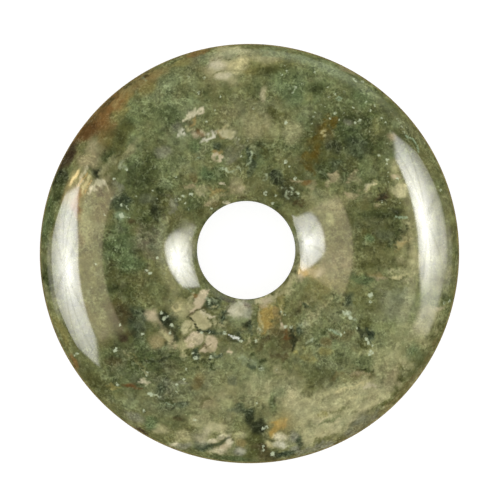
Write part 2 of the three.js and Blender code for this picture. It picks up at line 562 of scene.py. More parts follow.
NORTH_CLOUDS = (
    Cloud(Ink.GOLD_OLIVE, -6.4, 18.2, 2, 0.9, 0.65, 18),
    Cloud(Ink.RUST, -5, 19.1, 2.2, 0.5, 0.75, 16),
    Cloud(Ink.DARK_OLIVE, -12.2, 9.9, 1.2, 2.2, 0.65, -10),
    Cloud(Ink.MOSS, -7.5, 12.6, 1.7, 2.6),
    Cloud(Ink.PEWTER, -8.2, 9.6, 1.4, 1),
    Cloud(Ink.DEEP_MOSS, -9.5, 8.2, 1.2, 1.4),
    Smear(Ink.CREAM, 0.45, ((-6.2, 12.9), (-5.6, 13.2), (-5, 13.5), (-4.4, 13.6)), 0.95),
    Smear(Ink.OCHRE, 0.35, ((-5.1, 12.9), (-5.3, 12.4), (-5.7, 12.1)), 0.9),
    Smear(Ink.UMBER, 0.35, ((-6.2, 12.7), (-5.8, 12.5), (-5.6, 12.2))),
    Smear(Ink.BONE, 0.55, ((-6.9, 11.15), (-6.5, 11.3), (-6.1, 11.5)), 0.85),
    Smear(Ink.STRAW, 0.35, ((-6.1, 12.1), (-5.7, 11.8), (-5.2, 11.65)), 0.95),
    Cloud(Ink.PINK_CREAM, -4.7, 11.4, 1.3, 0.8, 0.85),
    Smear(Ink.BONE, 0.5, ((-4.6, 10.7), (-4, 11), (-3.4, 11.35)), 0.95),
    Smear(Ink.OCHRE, 0.35, ((-3.1, 11.5), (-2.7, 11.2), (-2.2, 11)), 0.9),
    Smear(Ink.CHESTNUT, 0.35, ((-5, 11.7), (-4.7, 11.4), (-4.4, 11.5)), 0.6),
    Smear(Ink.BONE, 0.45, ((-4.6, 10.6), (-4, 11), (-3.2, 11.5)), 0.85),
    Smear(Ink.BONE, 0.6, ((-2.7, 11.6), (-1.9, 11.4), (-1.3, 11.1)), 0.95),
    Smear(Ink.STRAW, 0.7, ((-2.8, 11.7), (-2, 11.5), (-1.4, 11.2)), 0.6),
    Cloud(Ink.SPRUCE, -3, 10.3, 1, 0.9, 0.75, 0, 0.4),
    Smear(Ink.STRAW, 0.2, ((-3, 11.6), (-2.4, 12), (-1.7, 12.4)), 0.8),
    Smear(Ink.OCHRE, 0.3, ((-3.5, 9.8), (-3, 9.6), (-2.5, 9.8)), 0.8),
    Smear(Ink.PINK_CREAM, 0.3, ((-3.5, 9.15), (-3.3, 8.8), (-2.9, 8.85), (-2.7, 9.2)), 0.95),
    Cloud(Ink.FERN, -5.1, 10.2, 1.4, 1.5, 0.65),
    Cloud(Ink.CREAM, -3.1, 18.1, 1.7, 1, 0.91),
    Cloud(Ink.STRAW, -1.2, 18, 1.8, 1.3, 0.88, 10),
    Cloud(Ink.CREAM, -2.5, 16.9, 1.6, 0.9),
    Cloud(Ink.KHAKI, -1.6, 16.5, 1, 0.7, 0.7),
    Cloud(Ink.PALE_KHAKI, -1.5, 19.4, 3.4, 0.6, 0.7, -4),
    Cloud(Ink.LEAF, -4.4, 18.4, 1, 0.8),
    Cloud(Ink.BROWN, -5.3, 7.2, 0.6, 0.9),
    Cloud(Ink.GOLD_OLIVE, 0.3, 17.3, 1.6, 0.7, 0.7),
    Cloud(Ink.DARK_OLIVE, 2.1, 17.5, 3.2, 0.9, 0.88, 3),
    Cloud(Ink.KHAKI, 1.4, 18.6, 3, 0.9),
    Cloud(Ink.PINK_CREAM, 1.3, 15.2, 0.5, 1.4, 0.6, 0, 0.4, 0.15),
    Cloud(Ink.SAGE, 8, 17.3, 2.4, 0.7, 0.75, -26),
    Cloud(Ink.TAN, 9.4, 17.4, 2, 0.4, 0.6, -28),
    Cloud(Ink.DEEP_MOSS, 6.3, 15.6, 1.6, 1.4, 0.8),
    Cloud(Ink.KHAKI, 0.4, 11.4, 1.4, 1.2, 0.5),
    Cloud(Ink.PALE_KHAKI, 1.7, 12.6, 0.9, 1.4, 0.5),
    Cloud(Ink.FERN, 3.6, 16.4, 3.2, 2, 0.55, 0, 0.7),
    Cloud(Ink.FERN, 4.2, 14.9, 2.2, 1.8, 0.55, 0, 0.7),
    Cloud(Ink.MOSS, 9.6, 15.2, 1.6, 2.4, 0.5, -30, 0.7),
    Cloud(Ink.FERN, 10.6, 14.8, 2, 1.6, 0.55, -30, 0.7),
    Cloud(Ink.SAGE, -7.4, 16.5, 2.2, 1.4, 0.75, 30, 0.7),
    Cloud(Ink.SAGE, -5.2, 16.2, 1.2, 1.6, 0.6, 0, 0.7),
    Smear(Ink.SAGE, 0.7, ((-6.5, 14.6), (-5.8, 14.3), (-5, 14.7)), 0.6),
    Cloud(Ink.SAGE, -6.4, 10.6, 1, 1.2, 0.7, -20),
    Cloud(Ink.PEWTER, -6.9, 12, 0.8, 1.2, 0.6, -20),
    Smear(Ink.PEWTER, 1.1, ((-2.3, 9), (-1.5, 9.4), (-1, 10.2)), 0.45),
    Smear(Ink.PINK_CREAM, 0.3, ((-3.6, 9.2), (-3.2, 9.4), (-2.8, 9.2), (-2.7, 8.9)), 0.9),
    Cloud(Ink.MOSS, -3.1, 7.4, 2.2, 1.6),
    Cloud(Ink.OLIVE, -3.7, 8.6, 1.4, 0.8, 0.6),
    Smear(Ink.SPRUCE, 0.8, ((-0.2, 10.1), (0.3, 9.2), (0.2, 8.4), (0.1, 7.5))),
    Smear(Ink.LICHEN, 0.16, ((-0.3, 8.3), (0.1, 8.8), (0.25, 9.4), (0.1, 9.8))),
    Smear(Ink.LICHEN, 0.18, ((-2.9, 8), (-2.3, 8.1), (-2, 7.7), (-1.5, 7.9), (-1, 8.3), (-0.8, 7.8))),
    Smear(Ink.DARK_OLIVE, 1, ((1.3, 10.2), (1.5, 9.5), (1.4, 8.9)), 0.8),
    Smear(Ink.LICHEN, 0.16, ((1.1, 7.9), (1.7, 7.6), (1.6, 7.1), (1.1, 6.9)), 0.6),
    Cloud(Ink.KHAKI, 4.1, 11.6, 2, 2, 0.54),
    Smear(Ink.DARK_OLIVE, 0.4, ((2.9, 13.1), (2.95, 12), (2.8, 10.9))),
)

NORTH_EAST_CLOUDS = (
    Cloud(Ink.BROWN, 7.1, 11.6, 1.4, 2.4, 0.54),
    Cloud(Ink.PEWTER, 9.3, 12.5, 0.8, 0.6),
    Cloud(Ink.DEEP_MOSS, 10.6, 13, 3.2, 1, 0.75, -10),
    Cloud(Ink.SPRUCE, 8, 8.3, 1.4, 1.2, 0.65),
    Cloud(Ink.LEAF, 11.1, 8.3, 1.4, 1.2, 0.7),
    Cloud(Ink.KHAKI, 8.2, 7.2, 1, 0.9, 0.6),
    Cloud(Ink.OLIVE, 12.4, 12, 1.3, 1.4),
    Cloud(Ink.SAGE, 13.9, 12.3, 0.9, 0.7),
    Cloud(Ink.TAN, 13.7, 11.1, 0.9, 1),
    Cloud(Ink.KHAKI, 13.9, 8.5, 0.9, 1.3, 0.91),
    Cloud(Ink.PINK_CREAM, 13.9, 7.3, 0.7, 0.5),
    Cloud(Ink.PALE_KHAKI, 14.2, 6, 1.5, 1.4, 0.91),
    Cloud(Ink.KHAKI, 10.3, 7, 0.8, 0.7, 0.55),
    Cloud(Ink.MAROON, 12.6, 5.3, 1, 0.8, 0.97, 0, 0.4, 0.5),
    Cloud(Ink.TAN, 12.2, 4.6, 0.6, 0.4, 0.65),
    Cloud(Ink.DEEP_MOSS, 12.2, 3.7, 3.8, 0.9),
    Cloud(Ink.NIGHT, 14, 4, 0.8, 0.6, 0.65),
    Cloud(Ink.DEEP_MOSS, 14.1, 1.8, 1, 0.8),
    Cloud(Ink.FERN, 11.5, 1.5, 0.9, 0.8, 0.65),
    Cloud(Ink.LIME, 7.7, 3.2, 0.8, 1, 0.65),
    Cloud(Ink.RUST, 5.4, 6.7, 0.9, 0.6, 0.84, 20),
    Cloud(Ink.DEEP_MOSS, 2.5, 4.6, 1, 0.8, 0.65),
    Smear(Ink.DARK_OLIVE, 1.2, ((2.2, 13.9), (2.7, 13.2)), 0.75),
    Cloud(Ink.LIME, 2.4, 11.6, 1.2, 1.5, 0.55),
    Cloud(Ink.SAGE, 5, 13, 1.2, 1.2, 0.5),
    Smear(Ink.BRONZE, 1.1, ((7.7, 12.8), (7.1, 11.9), (6.8, 10.9), (6.3, 10.1), (5.8, 9.2), (5.5, 8.2),
                            (5.4, 7.4)), 0.75),
    Cloud(Ink.STRAW, 6.85, 11.5, 0.3, 0.3, 0.8),
    Cloud(Ink.STRAW, 7.15, 11.75, 0.3, 0.25, 0.8),
    Cloud(Ink.STRAW, 7.1, 11.2, 0.3, 0.25, 0.8),
    Smear(Ink.BRONZE, 0.7, ((7.4, 13), (8, 12.6), (8.2, 12.1))),
    Cloud(Ink.NIGHT, 8, 10.2, 1.2, 1.3, 0.7),
    Cloud(Ink.DEEP_MOSS, 7.1, 7.7, 1.4, 1.6, 0.8),
    Cloud(Ink.DARK_OLIVE, 6.7, 6.6, 1.2, 1, 0.6),
    Smear(Ink.DEEP_MOSS, 0.7, ((10.7, 11.5), (11.2, 10.7), (11.7, 9.8), (12, 9.2)), 0.75),
    Cloud(Ink.SPRUCE, 10.3, 10.2, 1.8, 1.9, 0.6),
    Cloud(Ink.DARK_OLIVE, 9.8, 8.6, 1.6, 1.2, 0.7),
    Cloud(Ink.SAGE, 11.6, 7.6, 1.3, 0.7, 0.5),
    Smear(Ink.CREAM, 0.35, ((10.9, 6.25), (11.4, 6.55), (12, 6.8)), 0.75),
    Cloud(Ink.SPRUCE, 2.6, 7.2, 1.3, 1.5),
    Smear(Ink.TAN, 0.35, ((3.9, 6.9), (4.5, 6.8), (5, 6.9)), 0.8),
    Smear(Ink.TAN, 0.5, ((5.4, 6.1), (5.9, 6.5), (6.2, 6.7)), 0.6),
    Cell(Ink.NIGHT, ((2.6, 6.2), (3.4, 6.9), (4.4, 6.4), (4.9, 5.6), (4.2, 4.9), (3.2, 5.1)),
                     0.45, 0.4, 0.8),
    Smear(Ink.LICHEN, 0.16, ((3, 6.4), (3.5, 6), (3.4, 5.4), (3.8, 5.1)), 0.8),
    Smear(Ink.LICHEN, 0.16, ((3.7, 6.6), (4.1, 6.1), (4, 5.6)), 0.8),
    Smear(Ink.LICHEN, 0.15, ((4.4, 6), (4.7, 5.7), (4.6, 5.3)), 0.8),
    Smear(Ink.NIGHT, 0.5, ((2.3, 7.6), (2.6, 6.9), (2.9, 6.6))),
    Smear(Ink.UMBER, 0.5, ((4.3, 4.8), (4.9, 4.7), (5.3, 5.1))),
    Cell(Ink.KHAKI, ((3.1, 11.4), (3.8, 12.4), (4.9, 12.2), (5.1, 11.2), (4.4, 10.6), (3.5, 10.7)),
                     0.5, 0.5, 0.6),
    Smear(Ink.TAN, 0.6, ((7.4, 6.6), (7.8, 7.2), (8.4, 7.6))),
    Smear(Ink.TAN, 0.45, ((9.2, 6.9), (10, 7.3), (10.2, 7.8)), 0.6),
    Smear(Ink.TAN, 0.5, ((9, 5.6), (9.8, 5.5), (10.4, 5.7))),
    Smear(Ink.STRAW, 0.4, ((10.9, 6.1), (11.5, 6.4), (12.2, 7)), 0.6, 0.8),
)

EAST_CLOUDS = (
    Cloud(Ink.LEAF, 14.4, -4.2, 4.6, 3.6, 0.7, 20, 1),
    Cloud(Ink.LEAF, 13.4, -7.4, 4.6, 3.2, 0.6, 35, 1),
    Cloud(Ink.OLIVE, 12.6, -0.4, 4.6, 1.7, 0.8, 10),
    Smear(Ink.KHAKI, 1.5, ((14.9, -2.6), (15.4, -0.4), (15.2, 1.6), (15, 2.6)), 0.7, 0.9),
    Smear(Ink.STRAW, 0.35, ((14, 0.6), (14.8, 1.2), (15.4, 1.4)), 0.6),
    Smear(Ink.DEEP_MOSS, 0.5, ((12.9, 0.4), (13.5, 1), (14.3, 1.6))),
    Cloud(Ink.SLATE, 12.9, 1.8, 1.5, 1.1, 0.55, -20),
    Smear(Ink.DARK_OLIVE, 0.45, ((10, -1.5), (10.8, -1.1), (11.7, -1), (12.4, -0.6)), 0.9),
    Cloud(Ink.OCHRE, 12, -2.15, 1.5, 0.6, 0.7),
    Smear(Ink.TAN, 0.4, ((11.5, -2.2), (12.3, -2.3), (13, -2.3)), 0.9),
    Smear(Ink.STRAW, 0.35, ((13.2, -2.1), (13.8, -2.3), (14.4, -2.2), (15, -1.8)), 0.85),
    Smear(Ink.KHAKI, 0.5, ((13.4, -1.8), (14.2, -1.6), (15, -1.6))),
    Cloud(Ink.FERN, 10.6, -2.4, 2.4, 0.9, 0.75, -8),
    Cloud(Ink.OLIVE, 13, -3.1, 2.4, 0.9, 0.7, 15),
    Cloud(Ink.DARK_OLIVE, 11.4, -4.7, 2.8, 1.8, 0.4, 30),
    Cell(Ink.SPRUCE, ((9.1, -3.9), (9.8, -3.8), (9.9, -4.6), (9.5, -5.1), (9, -4.9)), 0.75, 0.4),
    Smear(Ink.DARK_OLIVE, 0.35, ((10, -4.8), (10.7, -4.3), (11.2, -4.1)), 0.8),
    Smear(Ink.LICHEN, 0.4, ((9.1, -5.5), (9.5, -5.8), (9.9, -6.3)), 0.95),
    Cloud(Ink.DARK_OLIVE, 11, -6.6, 1.1, 1.2, 0.91),
    Smear(Ink.NIGHT, 0.6, ((10.5, -7), (10.8, -7.6), (11, -7.9)), 0.97),
    Smear(Ink.SPRUCE, 0.6, ((11.1, -7.2), (11.5, -7.8), (11.7, -8.4)), 0.8),
    Smear(Ink.DARK_OLIVE, 0.7, ((10.3, -8.4), (11, -8.9), (11.7, -8.9)), 0.8),
    Cloud(Ink.LIME, 12.8, -9.3, 1.6, 0.6, 0.65, 15),
    Cloud(Ink.BROWN, 9.2, -7.9, 1.8, 0.9, 0.5, 25),
    Cloud(Ink.UMBER, 8, -7.9, 1.1, 0.5, 0.6, -25),
    Cloud(Ink.MOSS, 11, -10.2, 2, 1.3, 0.6, 20),
    Smear(Ink.DEEP_MOSS, 0.4, ((9.8, -11.1), (10.7, -11.1), (11.7, -11.05)), 0.9),
    Smear(Ink.DARK_OLIVE, 0.4, ((11.7, -11.2), (11.6, -11.7), (11.1, -12)), 0.8),
    Cloud(Ink.DEEP_MOSS, 18.7, -4.2, 1, 1.1, 0.88),
    Cloud(Ink.PINK_CREAM, 17.9, -5.3, 1.6, 0.35, 0.75, 15),
    Smear(Ink.KHAKI, 1.7, ((17.3, -5.9), (16.6, -7.2), (15.4, -8.6)), 0.6),
    Cloud(Ink.FERN, 15.9, -9.6, 2.6, 1.3, 0.6, -50, 0.8),
    Smear(Ink.DARK_OLIVE, 1.2, ((15.9, -10.6), (14.8, -12.4), (13.4, -13.9)), 0.6, 1),
    Cloud(Ink.TAN, 13.6, -11.9, 2.2, 1.4, 0.55, 60),
    arc_smear(Ink.DARK_OLIVE, 1.1, 19.35, -20, -42, 0.5),
    arc_smear(Ink.DARK_OLIVE, 1.2, 19.35, -42, -72, 0.75),
    arc_smear(Ink.BROWN, 0.4, 19.7, -24, -80, 0.6),
    Cell(Ink.PEWTER, ((12.3, -3.2), (14.2, -2.9), (15.9, -2.6), (15.8, -5.2), (14.2, -6.4),
                      (12.6, -6.2)), 0.5, 0.8, 0.8),
    Smear(Ink.OLIVE, 0.5, ((12.6, -3.2), (14, -3.3), (15.6, -2.9)), 0.5, 1),
    Smear(Ink.OCHRE, 0.5, ((13.9, 0.4), (14.6, 0.9), (15.3, 1.5)), 0.6, 0.8),
    Cloud(Ink.SAGE, 5, -2.9, 1.8, 1, 0.54, 30),
    Smear(Ink.KHAKI, 1.3, ((2.4, -4.2), (3.6, -3.3), (4.8, -2.2)), 0.85, 0.8),
    Smear(Ink.PALE_KHAKI, 0.6, ((0.8, -4.6), (1.8, -4.4), (2.7, -3.9)), 0.95),
    Cloud(Ink.PINK_CREAM, 6.2, -1.8, 1.8, 0.8, 0.65, 10),
    # Painted highlight: a golden glint at the lower end of the reflection to the right of the hole.
    Cloud(Ink.GOLD, 5.2, -1.9, 1, 0.9, 0.75, 60),
)

SOUTH_EAST_CLOUDS = (
    Cell(Ink.AMBER, ((0.9, -5.2), (1.5, -4.8), (2.1, -5.1), (2.6, -5.3), (2.7, -6), (2.1, -6.6),
                     (1.7, -7.3), (1.3, -7.5), (1.1, -6.8)), 0.8, 0.4, 0.8),
    Smear(Ink.STRAW, 0.2, ((2.9, -3.9), (3.1, -4.6), (2.9, -5.2), (3.3, -5.8))),
    Cloud(Ink.PINK_CREAM, 1.3, -5, 0.8, 0.4, 0.6),
    Cloud(Ink.PINK_CREAM, 1.7, -4.5, 1.1, 0.6, 0.8, 15),
    Smear(Ink.PALE_KHAKI, 0.25, ((0.9, -5.2), (1.1, -6.3), (1.3, -7.2)), 0.5),
    Cloud(Ink.BROWN, 2.6, -5.9, 1, 1.2, 0.7),
    Smear(Ink.OCHRE, 0.4, ((2.2, -5), (2.6, -5.7), (2.9, -6.1)), 0.8),
    Cloud(Ink.BROWN, 2.4, -7.4, 1.6, 1.2),
    Smear(Ink.GOLD_OLIVE, 0.6, ((3.1, -3.9), (2.9, -4.6), (3.1, -5.2)), 0.8),
    Smear(Ink.PINK_CREAM, 0.55, ((2.9, -6.5), (3.2, -6.9), (3.6, -7.1)), 0.85),
    Cell(Ink.UMBER, ((2.6, -8.2), (3.2, -7.2), (4.2, -7), (4.4, -8.3), (4.1, -9.4), (3.4, -9.3),
                     (2.9, -8.8)), 0.65, 0.5, 1),
    Smear(Ink.NIGHT, 0.35, ((4.05, -7.1), (4.2, -8), (4.1, -9.2)), 0.8),
    Smear(Ink.CHESTNUT, 0.6, ((3.5, -7.2), (3.7, -7.7), (3.5, -8.1)), 0.8),
    Smear(Ink.UMBER, 0.6, ((2.1, -7.7), (1.4, -8.3), (0.8, -9))),
    Cloud(Ink.DEEP_MOSS, 0.3, -9.6, 0.5, 0.4, 0.8),
    Smear(Ink.KHAKI, 0.3, ((0.9, -6.9), (0.9, -7.5))),
    Smear(Ink.KHAKI, 0.3, ((0.8, -8), (0.6, -8.4))),
    Smear(Ink.KHAKI, 0.5, ((5.4, -5.6), (5.8, -6.2))),
    Smear(Ink.STRAW, 0.3, ((4.6, -4.9), (5, -4.7), (5.4, -4.7))),
    Smear(Ink.SPRUCE, 0.4, ((5.1, -5), (5.6, -5)), 0.8),
    Smear(Ink.LICHEN, 0.35, ((4.7, -6.8), (5.2, -6.8), (5.6, -6.6))),
    Smear(Ink.LICHEN, 0.22, ((5.3, -8.7), (5.7, -8.3), (6.3, -8.05)), 0.8),
    Smear(Ink.GOLD_OLIVE, 0.9, ((4.7, -9.6), (5.8, -9.5), (6.6, -9.9)), 0.6),
    Cloud(Ink.SPRUCE, 4.7, -7.4, 0.7, 1, 0.85),
    Cloud(Ink.DEEP_MOSS, 7.2, -7.5, 0.9, 0.6),
    Cloud(Ink.BROWN, 7.3, -8.4, 1.1, 0.9),
    Cloud(Ink.GOLD_OLIVE, 7.2, -9.3, 1.5, 0.7),
    Cloud(Ink.DEEP_MOSS, 8.4, -9.9, 1, 1.4, 0.54, 30),
    Smear(Ink.KHAKI, 2.4, ((5, -15.4), (8.6, -14), (12, -13)), 0.5, 1),
    Cell(Ink.DARK_OLIVE, ((5.8, -11), (7.2, -11), (8.4, -11.3), (8.3, -11.9), (7, -12.1), (6.6, -13),
                          (5.4, -13.4), (5, -12.6), (5.7, -12)), 0.6, 0.5, 1),
    Smear(Ink.STRAW, 0.3, ((7, -5), (7.6, -4.6), (8, -4.2)), 0.7, 0.9),
    Smear(Ink.KHAKI, 0.5, ((5.2, -7), (5.8, -6.4), (6.6, -5.6), (7.2, -4.9)), 0.5, 0.9),
    Smear(Ink.UMBER, 0.5, ((4.1, -6), (4.6, -5.5), (5, -4.8)), 0.6, 0.9),
    Smear(Ink.LICHEN, 0.16, ((7.6, -7.2), (8.2, -7.4), (8.8, -7.7))),
    Smear(Ink.BROWN, 0.9, ((8.4, -11.8), (9.6, -11.6), (11.2, -11.5)), 0.55, 0.9),
    Smear(Ink.TAN, 0.35, ((9.4, -11.7), (10.6, -11.4), (11.4, -11.4))),
    Smear(Ink.STRAW, 0.3, ((8.1, -13.15), (9.4, -12.8), (10.9, -12.4)), 0.9),
    Smear(Ink.CREAM, 0.3, ((10.9, -12.7), (11.5, -12.5), (12.2, -12.7)), 0.8),
    Smear(Ink.STRAW, 0.25, ((9.4, -13.9), (10.4, -13.6), (11.4, -13.7)), 0.6),
    Smear(Ink.OLIVE, 0.3, ((7.4, -15.2), (8.4, -15), (9.4, -14.6)), 0.6),
    Smear(Ink.GOLD_OLIVE, 0.5, ((6.4, -15.5), (6.9, -15.2), (7.3, -15.5)), 0.6),
    Smear(Ink.PALE_KHAKI, 0.9, ((7, -17.3), (8.2, -16.7), (9.8, -15.9)), 0.5, 0.9),
    Smear(Ink.PALE_KHAKI, 0.5, ((9.4, -15.9), (10.6, -15.2), (11.8, -14.4)), 0.6),
    Smear(Ink.LEAF, 0.3, ((6.6, -16.2), (7.8, -15.9), (8.6, -15.5)), 0.6),
    Smear(Ink.PEWTER, 0.8, ((8.8, -17.2), (10.7, -16.2), (12.4, -14.9)), 0.6, 1),
    Smear(Ink.PEWTER, 0.7, ((4.4, -19.1), (6.2, -18.7), (8, -18))),
    Cloud(Ink.PALE_KHAKI, 5.6, -17.7, 1.2, 1.2, 0.65),
    Cloud(Ink.MOSS, 2.2, -14.2, 0.6, 1.9),
    Cloud(Ink.SAGE, 2.9, -13.2, 1.4, 1, 0.65),
    Cloud(Ink.DEEP_MOSS, 1.3, -10.2, 0.6, 0.5),
    Smear(Ink.AMBER, 0.9, ((2.1, -15.9), (2.6, -16.3), (2.3, -17.1)), 0.8),
    Smear(Ink.GOLD, 0.4, ((2.8, -16.3), (3.3, -16.2), (3.6, -15.9)), 0.6),
    Cloud(Ink.AMBER, 2.2, -17.2, 0.7, 0.9),
    Cloud(Ink.PEWTER, 4.2, -17.4, 1.1, 1.2, 0.88),
    Cloud(Ink.SPRUCE, 4.7, -17.9, 0.8, 0.9),
    Cloud(Ink.CREAM, 3, -17.5, 1.3, 0.9, 0.88),
    Cloud(Ink.BONE, 2.9, -18.2, 1.4, 0.7, 0.88),
    Cloud(Ink.STRAW, 1.9, -18.2, 1, 0.5, 0.91, -40),
    Cloud(Ink.PEWTER, 4.3, -18.6, 1, 0.6, 0.84),
    Cloud(Ink.SPRUCE, 3.2, -19.1, 2.4, 0.6, 0.94, 6),
)

SOUTH_CLOUDS = (
    Cloud(Ink.UMBER, 1.7, -19.3, 2, 1, 0.6, -9),
    Cloud(Ink.NIGHT, 0.1, -15.6, 1, 1.5, 0.88),
    Cloud(Ink.NIGHT, 0.8, -16.6, 1.3, 1.3, 0.94),
    Cloud(Ink.DARK_OLIVE, 0.5, -17.7, 1.5, 1.4, 0.88),
    Cloud(Ink.UMBER, 1.1, -18.6, 1.5, 1.2, 0.91),
    Cloud(Ink.DARK_OLIVE, 0.3, -19.1, 1.6, 1, 0.84),
    Cloud(Ink.SPRUCE, -0.3, -15, 1.4, 0.8, 0.75, -30),
    Cloud(Ink.CREAM, -1.9, -17.9, 0.6, 1.4, 0.94, -18),
    Cloud(Ink.PINK_CREAM, -2.4, -18.4, 1.2, 0.6, 0.84, 10),
    Cloud(Ink.OCHRE, -0.8, -18, 1, 0.9),
    Cloud(Ink.KHAKI, -0.9, -17.3, 1.1, 0.8, 0.84),
    Cloud(Ink.CREAM, -3.1, -18.8, 1.8, 0.5),
    Cloud(Ink.PEWTER, -0.8, -18.9, 1.3, 0.8, 0.91),
    Cloud(Ink.BONE, -0.8, -18.8, 1, 0.5, 0.41),
    Cloud(Ink.MOSS, -2, -19.5, 4, 0.5, 0.88, -3),
    Cloud(Ink.CREAM, -3.5, -17.85, 1.2, 0.45, 0.91, 8),
    Cloud(Ink.CREAM, -2.6, -17.4, 0.9, 0.4, 0.84, 20),
    Cloud(Ink.PALE_KHAKI, -3.3, -16.6, 2.4, 1.1, 0.88),
    Cloud(Ink.KHAKI, -4.6, -15.9, 2.2, 1.1, 0.84),
    Cloud(Ink.SPRUCE, -4.5, -18.3, 1.7, 1.1, 0.94),
    Cloud(Ink.PEWTER, -6.3, -18.3, 1.4, 0.7, 0.75, 12),
    Cloud(Ink.KHAKI, -6.3, -17.4, 1.6, 1, 0.84),
    Cloud(Ink.CREAM, -7.2, -18.2, 0.9, 0.4, 0.75, 15),
    Cloud(Ink.KHAKI, -8.4, -16.7, 1.6, 0.9, 0.88, -20),
    Cloud(Ink.FERN, -9.4, -16.1, 1.6, 1.2, 0.7),
    Cloud(Ink.PEWTER, -11, -15.6, 2, 0.8, 0.75, -35),
    Cloud(Ink.MAROON, -10.3, -16.9, 1.6, 0.35, 0.75, -33),
    Cloud(Ink.TAN, -3.9, -14.3, 1.6, 1, 0.65),
    Cloud(Ink.LIME, -2.2, -14.2, 1.1, 0.7, 0.65),
    Cloud(Ink.SLATE, -1.6, -12.1, 0.9, 0.9),
    Cloud(Ink.SPRUCE, -0.9, -14.4, 0.9, 0.6),
    Cloud(Ink.SLATE, -1.3, -14.9, 1.6, 0.45, 0.75, 5),
    Cloud(Ink.BROWN, -4.9, -12.2, 1.7, 1, 0.79, 60, 0.35, 0.15),
    Cloud(Ink.SPRUCE, -6.4, -14.4, 1.3, 0.6, 0.59),
    Cloud(Ink.SPRUCE, -8.2, -12.8, 1, 1.7),
    Cloud(Ink.SAGE, -7.2, -12.7, 1, 0.6, 0.84),
    Cloud(Ink.UMBER, -6.9, -15.7, 0.9, 0.4, 0.75, -15),
)

SOUTH_WEST_CLOUDS = (
    Cloud(Ink.CREAM, -4.5, -17.5, 1.8, 1.4, 0.6, 30, 0.7),
    arc_smear(Ink.KHAKI, 0.5, 19.6, 182, 193, 0.6),
    # Painted reflection: a pale sage band at the north-east rim, where the pale wall shows in the polish.
    arc_smear(Ink.SAGE, 0.8, 19.4, 66, 86, 0.6),
    Cloud(Ink.TAN, -14.7, 9.7, 2.4, 1.5, 0.6, -80, 0.7),
    Cloud(Ink.CHESTNUT, -10, 16.4, 2.4, 1.6, 0.3, 58, 1),
    # Partly painted highlight: the lip's own pale tan, made paler to carry the reflection right of the
    # hole further down the lip.
    Smear(Ink.PINK_CREAM, 0.8, ((4.9, -2.8), (4.7, -1.6), (5, -0.4)), 0.6, 0.8),
    Smear(Ink.DUSK, 1.6, ((-9.9, 2.4), (-9.4, 0.8), (-9.2, -1.2)), 0.5, 1),
    Smear(Ink.SLATE, 1, ((-8.6, 2.6), (-8.6, 1), (-8.5, -1.4)), 0.6, 1),
    Cloud(Ink.DEEP_MOSS, -9.9, 3.2, 1.6, 1.4, 0.6, 40),
    Cloud(Ink.OCHRE, -8.7, -8.3, 1.5, 1.1, 0.79),
    Cloud(Ink.STRAW, -7.9, -8, 0.8, 0.4, 0.91, -50),
    Cloud(Ink.PALE_KHAKI, -7.6, -8.8, 0.6, 0.8),
    Cloud(Ink.MAROON, -11.95, -8.1, 0.8, 0.7, 0.94),
    Cloud(Ink.SPRUCE, -10.6, -6.4, 1.8, 2.6),
    Cloud(Ink.UMBER, -12.2, -5.6, 2.2, 1.8, 0.59),
    Cloud(Ink.FERN, -11.4, -1, 2.4, 1.6, 0.65),
    Cloud(Ink.DEEP_MOSS, -13, -3.3, 1.3, 1.3),
    Cloud(Ink.PINK_CREAM, -9.4, -5.9, 1.3, 0.8, 0.84, -20),
    Cloud(Ink.SPRUCE, -8, -6.4, 1.4, 1.2, 0.97, -40),
    Cloud(Ink.NIGHT, -7.1, -8, 0.7, 0.8),
    Cloud(Ink.GOLD_OLIVE, -17.9, -7.6, 1.3, 4.4, 0.88, 24),
    Cloud(Ink.DEEP_MOSS, -19.3, -2.4, 1.2, 4.6, 0.88, 4),
    Cloud(Ink.RUST, -16.8, -10.2, 0.7, 1.5, 0.75, 30),
    Cloud(Ink.DARK_OLIVE, -14.7, -12.4, 3.6, 1.2, 0.75, -48),
    Cloud(Ink.UMBER, -13, -10.3, 1.7, 0.8, 0.59),
    Cloud(Ink.SAGE, -11.6, -14.2, 2.4, 0.9, 0.48, -15),
)

